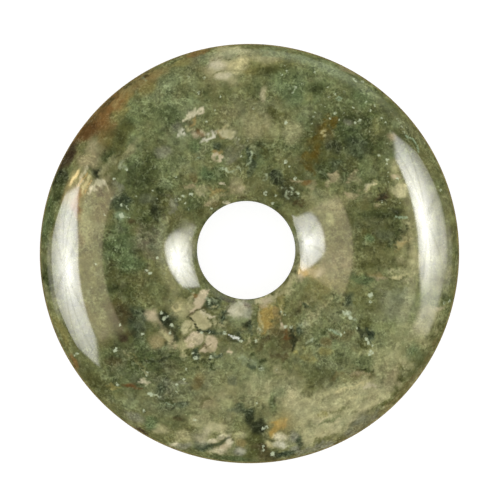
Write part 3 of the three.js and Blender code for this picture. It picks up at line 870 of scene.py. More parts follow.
MIDDLE_CLOUDS = (
    Cloud(Ink.KHAKI, -2, 11.4, 1.4, 0.9, 0.45, 0, 0.7),
    Cloud(Ink.AMBER, 2.9, -16.2, 2.2, 1.6, 0.3, 20, 0.9),
    Cell(Ink.NIGHT, ((-8.8, -5.8), (-8.2, -5.5), (-7.4, -6.4), (-7, -7.6), (-7.2, -8.1), (-7.8, -7.5),
                     (-8.3, -6.8)), 0.8, 0.3),
    Smear(Ink.SPRUCE, 0.6, ((-7.5, -5.6), (-7.2, -6.4), (-6.9, -7.2)), 0.6),
    Cell(Ink.PINK_CREAM, ((-9.8, -6.2), (-9.5, -5.5), (-8.9, -5.3), (-8.8, -6), (-8.6, -6.4),
                          (-9.1, -6.6)), 0.8, 0.3),
    Smear(Ink.TAN, 0.7, ((-8.8, -6.3), (-8.3, -7.1), (-7.7, -7.8), (-7.2, -8.8)), 0.95),
    Smear(Ink.STRAW, 0.35, ((-8.3, -7.4), (-7.8, -8), (-7.5, -8.6))),
    Cell(Ink.TAN, ((-9.5, -7.9), (-8.8, -7.6), (-8.3, -8), (-8.2, -8.8), (-9, -9.1), (-9.6, -8.7)),
                   0.6, 0.4),
    Cloud(Ink.MOSS, -10.2, -8.6, 1, 1.4),
    Smear(Ink.UMBER, 1.2, ((-12.4, -5.4), (-12, -6.8), (-11.8, -8.2)), 0.5),
    Smear(Ink.SLATE, 1, ((-10.6, -5.6), (-10.3, -6.6), (-9.9, -7.2)), 0.6),
    Smear(Ink.OLIVE, 0.25, ((-11.3, -9.5), (-10.6, -10.3), (-9.9, -11)), 0.8),
    Smear(Ink.CREAM, 0.45, ((-10.5, -12.2), (-10, -12.1), (-9.7, -12.3)), 0.8),
    Smear(Ink.CHESTNUT, 0.3, ((-12.2, -12.4), (-11.3, -12.6), (-10.5, -12.9)), 0.8),
    Smear(Ink.GOLD_OLIVE, 0.4, ((-13.4, -12.6), (-13, -12.8), (-12.5, -12.7)), 0.8),
    Smear(Ink.NIGHT, 0.5, ((-9.9, -10.3), (-8.7, -10.2), (-7.8, -9.8)), 0.6),
    Smear(Ink.PEWTER, 1, ((-8.2, -13.1), (-7.2, -12.5), (-6, -12.4)), 0.6),
    Smear(Ink.DEEP_MOSS, 0.6, ((-5.2, -10.4), (-4.2, -10.5), (-3.4, -10.6)), 0.8),
    Smear(Ink.LICHEN, 0.7, ((-0.9, -10), (0, -10.2), (1, -10.9)), 0.5),
    Smear(Ink.SPRUCE, 0.4, ((-0.2, -10.7), (0.3, -10.9), (0.7, -10.9)), 0.8),
    Smear(Ink.KHAKI, 0.7, ((2.2, -10.7), (2.9, -11.2), (3.4, -11.4)), 0.6),
    Smear(Ink.UMBER, 0.6, ((2.2, -9.7), (2.8, -9.9), (3.6, -9.8))),
    Smear(Ink.KHAKI, 0.45, ((-3.9, 5.4), (-3.1, 5.4), (-2.3, 5.6)), 0.6),
    Smear(Ink.OCHRE, 0.45, ((-4, 6.1), (-3.4, 5.9), (-2.6, 6)), 0.6),
    Smear(Ink.CREAM, 0.45, ((-5, 6.1), (-4.6, 5.6), (-4.2, 5.2))),
    Smear(Ink.TAN, 0.5, ((-6.2, 6.3), (-5.4, 6.5), (-4.9, 6.3)), 0.8),
    Smear(Ink.TAN, 0.5, ((-4.2, 4.6), (-3.6, 5), (-2.8, 5.2)), 0.8),
    Cell(Ink.TAN, ((-2.3, 6.3), (-1.6, 7), (-0.8, 6.9), (-0.3, 6), (-0.9, 5.6), (-1.8, 5.8)),
                   0.7, 0.4, 0.7),
    Smear(Ink.CREAM, 0.3, ((-2.5, 4.95), (-2.1, 4.95), (-1.8, 4.9)), 0.95),
    Cloud(Ink.KHAKI, -4.6, 6, 1.2, 0.9, 0.84),
    Cloud(Ink.PINK_CREAM, -0.7, 6.2, 0.7, 0.6, 0.4),
    Cloud(Ink.KHAKI, -1.3, 6.8, 1, 0.9, 0.55),
    Cloud(Ink.UMBER, -0.7, 5.35, 0.9, 0.35),
    Cloud(Ink.BROWN, -3.1, 4.7, 1, 0.6, 0.75, 20),
    Cloud(Ink.MOSS, -5.4, 4.6, 1.4, 1.6),
    Cloud(Ink.DARK_OLIVE, -4.6, 3.9, 0.9, 0.9, 0.65),
    Cloud(Ink.FERN, -4, 7.6, 1.4, 1),
    Cell(Ink.KHAKI, ((-7.5, -5), (-6.6, -4.3), (-5.6, -4.7), (-5.5, -5.9), (-6.3, -6.3), (-7.3, -5.9)),
                     0.8, 0.35),
    Smear(Ink.STRAW, 0.2, ((-7.3, -5), (-7.1, -5.4), (-6.7, -5.3), (-6.5, -4.9)), 0.9),
    Cell(Ink.PINK_CREAM, ((-5.6, -5.8), (-5.5, -5), (-5.1, -4.1), (-4.6, -3.5), (-3.8, -3.4),
                          (-3.9, -4), (-4.05, -4.5), (-4.5, -5), (-5.1, -5.4)), 0.99),
    Smear(Ink.KHAKI, 0.5, ((-5.2, -3.7), (-5.7, -4.6), (-6, -5.4), (-6.1, -6)), 0.9, 0.25),
    Cell(Ink.PALE_KHAKI, ((-5.6, -6), (-5.2, -5.6), (-4.7, -5.4), (-4.3, -5.7), (-3.9, -6.2),
                          (-3.6, -6.6), (-3.7, -7.1), (-4.4, -7.3), (-4.9, -7), (-5.3, -6.4)), 0.9),
    Smear(Ink.CREAM, 0.4, ((-4.6, -5.5), (-4.1, -5.7), (-3.8, -6), (-3.3, -6.1)), 0.9),
    Smear(Ink.PALE_KHAKI, 0.45, ((-3.2, -6.4), (-3.35, -7)), 0.85),
    Smear(Ink.KHAKI, 0.45, ((-2.7, -6.4), (-2.9, -6.9))),
    Cell(Ink.SPRUCE, ((-4.1, -4.3), (-3.3, -4), (-2.6, -4.3), (-2.7, -5), (-3.4, -5.4), (-4.2, -5.1)),
                      0.8, 0.25),
    Smear(Ink.LICHEN, 0.3, ((-4, -4.1), (-3.7, -4.5), (-3.8, -4.8))),
    Smear(Ink.LICHEN, 0.25, ((-3.4, -4.2), (-3.1, -4.6)), 0.65),
    Smear(Ink.STRAW, 0.25, ((-3, -4.9), (-3.3, -5.1), (-3.7, -5)), 0.6),
    Smear(Ink.SPRUCE, 0.6, ((-2.5, -5.3), (-2.4, -5.9), (-2.7, -6.4)), 0.9),
    Cell(Ink.PALE_KHAKI, ((-6.6, -7.1), (-6.1, -6.4), (-5.5, -6.3), (-5.1, -6.9), (-5.4, -7.4),
                          (-6.2, -7.8))),
    Cell(Ink.PINK_CREAM, ((-6.2, -8.4), (-5.6, -7.6), (-5, -7.25), (-4.5, -7.5), (-4.2, -7.8),
                          (-4.3, -8.4), (-4.6, -8.7), (-5.4, -9), (-6, -8.9)), 0.97),
    Cell(Ink.PINK_CREAM, ((-4.3, -8.1), (-3.9, -7.8), (-3.4, -7.8), (-3.05, -8.1), (-3.05, -8.9),
                          (-3.5, -9.3), (-4.2, -9.4), (-4.7, -9.2), (-4.6, -8.9), (-4.2, -8.6)), 0.95),
    Cell(Ink.STRAW, ((-7, -8.7), (-6.4, -8.2), (-5.9, -8.5), (-5.9, -9.1), (-6.5, -9.4)), 0.7, 0.25),
    Cloud(Ink.KHAKI, -6.2, -9.6, 0.7, 0.45, 0.8, 20),
    Cell(Ink.BONE, ((-2.3, -5.3), (-1.8, -4.9), (-1, -4.45), (-0.3, -4.5), (0.2, -4.9), (0.3, -5.8),
                    (-0.3, -6.3), (-1.2, -6.2), (-1.9, -5.9)), 0.72, 0.3, 0.6),
    Cloud(Ink.DUSK, -0.2, -4.9, 0.8, 0.5, 0.75, -20),
    Cloud(Ink.PEWTER, 0, -5.7, 0.5, 0.8, 0.6),
    Cell(Ink.SAGE, ((-2, -6), (-0.9, -6.1), (-0.2, -6.2), (-0.4, -6.8), (-1, -7.1), (-1.7, -6.8)),
                    0.75, 0.25),
    Smear(Ink.UMBER, 0.3, ((-2.7, -4.2), (-1.9, -4.5), (-1.3, -4.5)), 0.8),
    Smear(Ink.SPRUCE, 0.26, ((-4.9, -7.3), (-3.8, -7.5), (-3, -7.6), (-2.3, -7.6)), 0.75),
    Smear(Ink.OLIVE, 0.2, ((-6.1, -6.9), (-5.8, -7.2), (-5.5, -7), (-5.7, -6.7))),
    Smear(Ink.TAN, 0.4, ((-5.9, -8.6), (-5.3, -8.3), (-4.8, -8.5)), 0.6),
    Smear(Ink.TAN, 0.4, ((-4.2, -9), (-3.8, -9.2), (-3.4, -9.1))),
    Smear(Ink.BROWN, 0.12, ((-4.7, -9.1), (-4.3, -8.7), (-4, -8.9), (-3.6, -8.7))),
    Smear(Ink.NIGHT, 0.35, ((-2.1, -7.6), (-1.5, -7.7), (-0.9, -7.95)), 0.8),
    Smear(Ink.NIGHT, 0.3, ((-2, -8.05), (-1.2, -8.3)), 0.8),
    Smear(Ink.NIGHT, 0.5, ((0, -6.4), (-0.2, -6.8), (-0.5, -7.1))),
    Smear(Ink.SPRUCE, 0.6, ((-1.3, -7.3), (-1, -7.7), (-0.9, -8.1)), 0.8),
    Smear(Ink.SPRUCE, 0.5, ((0.1, -6.6), (0.1, -7.2), (0.3, -7.9)), 0.75),
    Smear(Ink.KHAKI, 0.25, ((0, -8), (-0.1, -8.5), (-0.6, -8.9))),
    Cell(Ink.SPRUCE, ((-5.5, -9.1), (-4.9, -9), (-4.7, -9.7), (-5, -10.2), (-5.4, -9.9)), 0.95),
    Smear(Ink.SPRUCE, 0.5, ((-3.9, -9.6), (-3.3, -9.8), (-2.6, -9.9)), 0.9),
    Smear(Ink.PINK_CREAM, 0.25, ((-2.2, -9.35), (-1.95, -9.2), (-1.75, -9.5)), 0.9),
    Smear(Ink.DARK_OLIVE, 0.5, ((-6.2, -9.2), (-5.8, -9.6), (-5.6, -10))),
    Smear(Ink.LICHEN, 0.3, ((-3.4, -9.3), (-3.1, -9.8)), 0.6),
    Cloud(Ink.RUST, -5.1, -4, 0.5, 0.35, 0.75, 20),
)


@dataclass(frozen=True)
class Patches:
    """Stray colour in small patches all over the mossy parts, from solid noise.

    wave is their size in millimetres, cover is how much they hide at most, rise is the noise where
    they start and where they are full, and bare is their share where there is no moss.
    """

    ink: Ink
    wave: float
    cover: float
    seed: int
    rise: tuple[float, float] = (0.05, 0.6)
    bare: float = 0.25

    def share(self, face: Face, moss: np.ndarray) -> np.ndarray:
        """Says how much shows at each vertex: a smooth rise of the noise, and less off the moss."""
        noise = SolidNoise(self.seed).layers(face.solid, self.wave, 4, 0.7)
        return self.cover * smooth(*self.rise, noise) * (self.bare + (1 - self.bare) * moss)


STRAY_PATCHES = (
    Patches(Ink.PEWTER, 2.2, 0.3, 71),
    Patches(Ink.BROWN, 1.8, 0.28, 72),
    Patches(Ink.FERN, 2.6, 0.3, 73),
    Patches(Ink.SAGE, 1.2, 0.35, 74),
    Patches(Ink.DEEP_MOSS, 1.5, 0.4, 75),
)

LOCAL_CLOUDS = (
    NORTH_WEST_CLOUDS, NORTH_CLOUDS, NORTH_EAST_CLOUDS, EAST_CLOUDS, SOUTH_EAST_CLOUDS,
    SOUTH_CLOUDS, SOUTH_WEST_CLOUDS, MIDDLE_CLOUDS,
)

CRACKS = (
    Vein(Ink.NIGHT, 0.17, ((-5.9, -6), (-5.5, -6.2), (-5.2, -6.7), (-4.9, -7.2), (-4.5, -7.4),
                           (-3.7, -7.5)), 0.9),
    Vein(Ink.UMBER, 0.14, ((-5.9, -6), (-5.45, -5.65), (-4.9, -5.35), (-4.5, -5.2), (-4.1, -5.15))),
    Vein(Ink.DARK_OLIVE, 0.12, ((-4.6, -5.25), (-4.4, -5.5), (-4.1, -5.4), (-3.9, -5.7), (-3.6, -5.6),
                                (-3.4, -5.85), (-3, -5.8))),
    Vein(Ink.DARK_OLIVE, 0.12, ((-4, -6.2), (-3.6, -6.3), (-3.5, -6.7), (-3.6, -7.2))),
    Vein(Ink.DARK_OLIVE, 0.12, ((-3.1, -6.1), (-3, -6.5), (-3.15, -7.1))),
    Vein(Ink.OLIVE, 0.14, ((-6.7, -8), (-5.9, -7.6), (-5.4, -7.25), (-5.1, -7.1))),
    Vein(Ink.OLIVE, 0.12, ((-6.5, -6.9), (-6.2, -7.1), (-5.8, -7)), 0.5),
    Vein(Ink.UMBER, 0.12, ((-2.35, -5.8), (-2, -5.1), (-1.3, -4.6)), 0.7),
    Vein(Ink.UMBER, 0.14, ((-4.5, -8.75), (-4.2, -8.6), (-4, -8.85), (-4.1, -9.1))),
    Vein(Ink.OLIVE, 0.14, ((-4.3, -7.7), (-4.3, -8.3), (-4.5, -8.7)), 0.7),
    Vein(Ink.DEEP_MOSS, 0.25, ((-8.6, -13.9), (-8.1, -14.1), (-7.8, -13.9), (-7.5, -14),
                               (-7.2, -14.4))),
    Vein(Ink.NIGHT, 0.2, ((-8, -14.6), (-7.5, -14.85), (-7.1, -14.6))),
    Vein(Ink.MINT, 0.14, ((-7.9, -14.2), (-7.5, -14.5), (-7.1, -14.3)), 0.6),
    Vein(Ink.DARK_OLIVE, 0.22, ((-4.6, -14.6), (-4.4, -14), (-4, -13.75), (-3.7, -13.9)), 0.7),
    Vein(Ink.SPRUCE, 0.28, ((-3.6, -18.2), (-2.9, -18.2), (-2.5, -17.8), (-2, -17.5)), 0.7),
    Vein(Ink.OLIVE, 0.12, ((-3.6, 16.9), (-3, 17.3), (-2.2, 17.45), (-0.5, 17.45)), 0.7),
    Vein(Ink.OLIVE, 0.1, ((-1.55, 17.5), (-1.5, 18.1)), 0.7),
    Vein(Ink.BROWN, 0.14, ((-3.5, 18.4), (-3.2, 18.45))),
    Vein(Ink.BROWN, 0.16, ((-2.95, 18.65), (-2.6, 18.7))),
    Vein(Ink.DARK_OLIVE, 0.16, ((-2.2, 18.5), (-1.8, 18.45))),
    Vein(Ink.BROWN, 0.12, ((-1.2, 18.8), (-0.9, 18.85))),
    Vein(Ink.DEEP_MOSS, 0.14, ((14.75, 11.2), (15.05, 10.95), (15.45, 10.8), (15.7, 10.5),
                               (15.9, 10.1))),
    Vein(Ink.MINT, 0.14, ((14.8, 11.35), (15.1, 11.1), (15.5, 10.95), (15.8, 10.65), (16, 10.2),
                          (16.1, 9.7))),
    Vein(Ink.OLIVE, 0.12, ((6.15, -18.45), (6.15, -18.05), (6.4, -17.85), (6.8, -17.8))),
    Vein(Ink.NIGHT, 0.14, ((12, 4.9), (12.5, 5.25), (13.1, 4.8))),
    Vein(Ink.NIGHT, 0.14, ((12.3, 6.2), (12.6, 5.4), (12.95, 5.95))),
    Vein(Ink.UMBER, 0.16, ((13.4, 5.3), (13, 6.2)), 0.7),
    Vein(Ink.DARK_OLIVE, 0.2, ((13.3, -2.4), (14.2, -2.6), (15, -2.1)), 0.6),
    Vein(Ink.DEEP_MOSS, 0.18, ((5.3, -8.8), (5.6, -8.6), (5.9, -8.4)), 0.7),
)

THREADS = (
    Vein(Ink.MINT, 0.15, ((13.9, 3.5), (14.4, 3.45), (15, 3.4)), 0.7),
    Vein(Ink.STRAW, 0.16, ((13.6, -2.3), (14.1, -2.4), (14.6, -2.3)), 0.6),
    Vein(Ink.MINT, 0.16, ((7.7, -7.2), (8.2, -7.5), (8.7, -7.8)), 0.7),
    Vein(Ink.STRAW, 0.14, ((9, -12.4), (10.4, -12.3), (11.3, -12)), 0.4),
    Vein(Ink.KHAKI, 0.1, ((-12, -9.2), (-11, -10.2), (-9.7, -11.5)), 0.6),
    Vein(Ink.MINT, 0.1, ((-6.1, -3.1), (-5.8, -3.4), (-5.4, -3.7)), 0.7),
    Vein(Ink.STRAW, 0.1, ((-16.4, 8.9), (-15.6, 8.9), (-14.6, 8.4)), 0.6),
    Vein(Ink.STRAW, 0.1, ((-16.1, 9.2), (-15.4, 9.4), (-14.7, 9.2)), 0.5),
    Vein(Ink.GOLD, 0.14, ((-15.4, 7.6), (-15.9, 7.1), (-16.3, 6.4)), 0.6),
    Vein(Ink.GOLD, 0.12, ((-15, 7), (-15.4, 6.4), (-15.6, 5.8)), 0.5),
    Vein(Ink.MINT, 0.12, ((8.2, 14.7), (8.5, 14.95), (8.85, 14.8), (8.5, 14.6), (8.2, 14.7)), 0.6),
    Vein(Ink.MINT, 0.12, ((-5.2, 8.9), (-4.9, 9.2), (-4.7, 9)), 0.6),
    Vein(Ink.CREAM, 0.16, ((-2.9, 6.6), (-2.6, 6.7), (-2.4, 6.6)), 0.8),
    Vein(Ink.MINT, 0.12, ((-9.9, 16.5), (-10.2, 16.8)), 0.3),
    Vein(Ink.FROST, 0.12, ((9.9, 16.7), (10.2, 16.4)), 0.7),
    Vein(Ink.FROST, 0.12, ((10.6, 16.4), (10.9, 16.3)), 0.7),
    Vein(Ink.FROST, 0.12, ((14.1, 12.8), (14.3, 12.6)), 0.6),
    Vein(Ink.FROST, 0.12, ((14.45, 12.2), (14.6, 12)), 0.6),
    Vein(Ink.FROST, 0.12, ((14.65, 11.7), (14.8, 11.5)), 0.6),
    Vein(Ink.SNOW, 0.22, ((-1.95, -7.78), (-1.55, -7.92), (-1.12, -8.06)), 0.95),
)

FROST_FLECKS = (
    (-12.2, 3.6, 0.5), (-11.5, 3.4, 0.2), (-12.2, 4.6, 0.25), (-11.7, 4.5, 0.2), (-11.6, 4.2, 0.2),
    (-13.4, 0.4, 0.15), (-13.8, 3.7, 0.15), (-15.6, 5.0, 0.15), (-12.9, 7.1, 0.2), (-11.7, 8.0, 0.18),
    (-10.8, 5.5, 0.18), (-9.2, 6.0, 0.18), (-8.8, 5.2, 0.18), (-4.8, 15.27, 0.28), (-4.35, 16.7, 0.2),
    (-5.8, 16.8, 0.15), (-2.75, 14.9, 0.15), (-3.3, 13.6, 0.15), (-0.75, 9.25, 0.18), (-0.2, 10.75, 0.15),
    (-4.1, 12.6, 0.18), (3.05, 17.05, 0.25), (3.55, 17.35, 0.18), (3.35, 17.9, 0.15), (6.2, 17.25, 0.22),
    (4.4, 15.8, 0.22), (4.1, 15.3, 0.2), (3.45, 12.45, 0.3), (8.15, 15.25, 0.2), (9.05, 15.4, 0.18),
    (7.4, 15.8, 0.16), (7.55, 14.85, 0.18), (6.75, 14.1, 0.18), (7.1, 14.05, 0.16), (6.3, 13.35, 0.16),
    (6.1, 13.0, 0.16), (5.9, 12.35, 0.18), (6.0, 11.6, 0.15), (8.15, 13.35, 0.2), (8.9, 13.35, 0.2),
    (7.65, 12.85, 0.18), (8.5, 12.7, 0.18), (10.0, 12.45, 0.18), (10.45, 12.7, 0.22), (11.5, 11.6, 0.18),
    (9.9, 13.9, 0.2), (11.1, 14.45, 0.2), (11.5, 13.6, 0.18), (11.9, 14.05, 0.18), (12.3, 9.35, 0.15),
    (12.6, 12.9, 0.15), (12.9, 12.5, 0.15), (3.45, 8.7, 0.36), (4.35, 7.1, 0.28), (0.35, 13.8, 0.18),
    (3.85, 8.25, 0.16), (13.1, 10.5, 0.16), (13.1, 8.9, 0.16), (13.1, 8.5, 0.14), (13.2, 7.8, 0.14),
    (13.2, 7.4, 0.14), (13.25, 6.8, 0.14), (14.05, 7.15, 0.2), (12.6, 4.85, 0.16), (14.25, 4.75, 0.16),
    (18.15, 6.05, 0.2), (11.5, -3.95, 0.45), (11.5, -4.6, 0.28), (9.35, -5.7, 0.35), (9.6, -6.1, 0.35),
    (8.9, -5.5, 0.18), (10.2, -7.1, 0.2), (8.7, -7.7, 0.22), (9.0, -7.5, 0.16), (11.1, -8.15, 0.38),
    (11.3, -8.5, 0.28), (11.7, -8.75, 0.2), (11.5, -9.2, 0.2), (11.75, -9.4, 0.18), (11.45, -9.6, 0.2),
    (18.55, -4.7, 0.22), (19.05, -4.55, 0.22), (0.6, -8.3, 0.28), (0.9, -7.2, 0.18), (3.4, -6.95, 0.36),
    (4.0, -7.0, 0.2), (3.4, -5.8, 0.18), (3.0, -5.6, 0.2), (2.6, -11.1, 0.2), (1.1, -10.9, 0.2),
    (0.7, -14.2, 0.16), (2.2, -19.1, 0.36), (1.3, -16.7, 0.3), (1.62, -16.5, 0.3), (1.3, -18.3, 0.26),
    (1.35, -18.75, 0.2), (-16.65, -9.65, 0.2), (-16.4, -9.5, 0.18), (-9.85, -1.65, 0.26),
    (-9.4, -1.85, 0.26), (-8.8, -0.35, 0.24), (-8.35, -5.65, 0.34), (-8.1, -6.2, 0.24), (-7.8, -6.0, 0.2),
    (-7.45, -6.8, 0.26), (-7.6, -7.55, 0.26), (-10.15, -7.65, 0.22), (-12.3, -6.8, 0.22),
    (-12.75, -9.15, 0.38), (-14.65, -1.0, 0.18), (-9.5, -13.3, 0.3), (-9.3, -13.45, 0.24),
    (-8.9, -13.4, 0.2), (-8.55, -13.6, 0.24), (-10.1, -14.85, 0.22), (-10.05, -15.05, 0.2),
    (-9.7, -11.35, 0.2), (-9.75, -11.65, 0.16), (-5.2, -15.8, 0.24), (-12.6, -12.45, 0.24),
    (-5.1, -9.9, 0.36), (-5.4, -9.45, 0.22), (-4.6, -7.55, 0.24), (-3.8, -7.5, 0.2), (-2.35, -7.6, 0.36),
    (-0.8, -8.3, 0.26), (-3.7, -9.85, 0.22), (-3.5, -9.9, 0.18), (-2.7, -9.6, 0.18), (-6.0, -11.0, 0.22),
    (-6.2, -11.9, 0.24), (-6.9, -12.5, 0.18), (-6.95, -13.1, 0.18), (-5.6, 5.6, 0.3), (-6.3, 5.5, 0.2),
    (-6.6, 5.2, 0.18), (-7.0, 5.1, 0.2), (-6.1, 4.8, 0.15), (-5.8, 4.25, 0.15), (1.5, 5.8, 0.3),
    (1.55, 5.6, 0.25), (2.2, 4.75, 0.2), (2.5, 5.5, 0.18), (3.7, 5.9, 0.2), (4.6, 5.7, 0.2),
    (-7.0, 7.3, 0.15), (5.0, 16.2, 0.12), (-3.6, 4.3, 0.2),
)


@dataclass
class MossPattern:
    """Paints the stone: a ground of olive, clouds of colour on it, and crisp veins and flecks last.

    mark_reach is how far a mark's edge is known on both sides together, in millimetres. Broad noise
    then swings the light, less by bare_light where there is no moss, and the hue, by red, green and
    blue.
    """

    ground: Ink = Ink.OLIVE
    mark_reach: float = 0.6
    light_wave: float = 2.6
    light_swing: float = 0.085
    bare_light: float = 0.35
    hue_wave: float = 1.7
    hue_swing: tuple[float, float, float] = (0.012, -0.0036, -0.0072)

    def paint(self, face: Face) -> tuple[np.ndarray, np.ndarray]:
        """Lays the clouds over the ground in order, as screen colours.

        Args:
            face: the vertices.

        Returns:
            Colours of 0 to 255 in three columns, and how mossy each vertex is, 0 to 1.
        """
        body = np.tile(np.array(self.ground.value, float), (len(face.at), 1))
        for layer in (BROAD_CLOUDS, STRAY_PATCHES, *LOCAL_CLOUDS):
            for mark in layer:
                share = mark.share(face, body[:, 3])[:, None]
                body = body * (1 - share) + np.array(mark.ink.value) * share
        light = SolidNoise(51).layers(face.solid, self.light_wave, 5, 0.75)
        hue = SolidNoise(61).layers(face.solid, self.hue_wave, 3)
        mossy = self.bare_light + (1 - self.bare_light) * body[:, 3]
        body[:, :3] *= (1 + self.light_swing * light * mossy)[:, None]
        body[:, :3] *= 1 + hue[:, None] * np.array(self.hue_swing)
        return body[:, :3], body[:, 3]

    def marks(self, face: Face) -> tuple[np.ndarray, np.ndarray]:
        """Finds the crisp marks near each vertex.

        Args:
            face: the vertices.

        Returns:
            Each vertex's nearest mark's colour with its cover in the fourth column, and a value that
            is 0.5 on the mark's edge and changes by 1 over the reach, in millimetres.
        """
        ink = np.zeros((len(face.at), 4))
        best = np.full(len(face.at), -np.inf)
        flecks = tuple(fleck(Ink.FROST, *place) for place in FROST_FLECKS)
        for mark in (*CRACKS, *THREADS, *flecks):
            depth = mark.depth(face)
            nearer = depth > best
            best = np.where(nearer, depth, best)
            ink[nearer] = (*mark.ink.value[:3], mark.cover)
        return ink, np.clip(0.5 + best / self.mark_reach, 0.0, 1.0)


@dataclass(frozen=True)
class RingSection:
    """The ring's outline from the rim over one face to the hole, in millimetres above the middle plane.

    From outside in: half an ellipse, a flat land at the crown, a quadratic curve down the shoulder,
    an arc down the lip, a small arc at the hole's edge, and a straight wall.
    """

    outer_radius: float
    half_thickness: float
    hole_radius: float = 4.685
    crown_radius: float = 12.0
    crown_land: float = 1.0
    shoulder_drop: float = 1.046
    shoulder_angle: float = math.radians(19.7)
    lip_radius: float = 2.7
    lip_angle: float = math.radians(43.5)
    edge_radius: float = 0.12
    hole_offset: tuple[float, float] = (-0.315, 0.325)
    funnel_shift: float = 0.3
    funnel_peak: float = 1 / 3

    def offset(self, radius: np.ndarray) -> tuple[np.ndarray, np.ndarray]:
        """Says how far circles of the ring lie off the rim's centre.

        Each is off by the hole's offset times (R - r) / (R - hole), and upwards by the funnel's shift
        times (t / peak)^2 ((1 - t) / (1 - peak))^4, where t is its way from the hole to the crown.

        Args:
            radius: the circles' radii.

        Returns:
            Their shifts along X and Y.
        """
        share = (self.outer_radius - radius) / (self.outer_radius - self.hole_radius)
        crown = self.crown_radius - self.crown_land / 2
        t = np.clip((radius - self.hole_radius) / (crown - self.hole_radius), 0.0, 1.0)
        funnel = (t / self.funnel_peak) ** 2 * ((1 - t) / (1 - self.funnel_peak)) ** 4
        return share * self.hole_offset[0], share * self.hole_offset[1] + self.funnel_shift * funnel

    def arc(self, start: np.ndarray, radius: float, lean: float, lean_end: float,
            t: np.ndarray) -> np.ndarray:
        """Bends on from a point: its normal leans towards the hole from lean to lean_end, in radians."""
        turn = np.pi / 2 + lean + t * (lean_end - lean)
        centre = start + radius * np.array([math.sin(lean), -math.cos(lean)])
        return centre + radius * np.stack([np.cos(turn), np.sin(turn)], 1)

    def dense(self, steps: int = 1200) -> np.ndarray:
        """Works out the outline as many close points.

        Args:
            steps: points on each curved stretch.

        Returns:
            An array of (radius, height) rows, from the rim's widest point to the wall's middle.
        """
        t = np.linspace(0.0, 1.0, steps)
        high, top = self.half_thickness, self.crown_radius + self.crown_land / 2
        fall = self.outer_radius - top
        rim = np.stack([top + fall * np.cos(t * np.pi / 2), high * np.sin(t * np.pi / 2)], 1)
        start = np.array([self.crown_radius - self.crown_land / 2, high])
        lean, lean_end = self.shoulder_angle, self.lip_angle
        lip_width = self.lip_radius * (math.sin(lean_end) - math.sin(lean))
        edge_width = self.edge_radius * (1 - math.sin(lean_end))
        end = np.array([self.hole_radius + lip_width + edge_width, high - self.shoulder_drop])
        bend = np.array([end[0] + self.shoulder_drop / math.tan(lean), high])
        s = t[:, None]
        shoulder = (1 - s) ** 2 * start + 2 * s * (1 - s) * bend + s**2 * end
        lip = self.arc(end, self.lip_radius, lean, lean_end, t)
        edge = self.arc(lip[-1], self.edge_radius, lean_end, np.pi / 2, t)
        wall = np.stack([np.full(steps, self.hole_radius), edge[-1, 1] * (1 - t)], 1)
        return np.concatenate([rim, shoulder, lip[1:], edge[1:], wall[1:]])

    def rows(self, count: int, bend_share: float) -> np.ndarray:
        """Picks rows along the outline, spaced by a mix of its length and of how much it turns.

        Args:
            count: how many rows.
            bend_share: 0 spaces them by length alone, and 1 by turning alone.

        Returns:
            An array of (radius, height) rows.
        """
        path = self.dense()
        step = np.diff(path, axis=0)
        length = np.hypot(step[:, 0], step[:, 1])
        heading = np.unwrap(np.arctan2(step[:, 1], step[:, 0]))
        turning = np.abs(np.diff(heading, prepend=heading[0]))
        pace = (1 - bend_share) * length / length.sum() + bend_share * turning / turning.sum()
        along = np.concatenate([[0.0], np.cumsum(pace)])
        at = np.linspace(0.0, along[-1], count)
        return np.stack([np.interp(at, along, path[:, 0]), np.interp(at, along, path[:, 1])], 1)


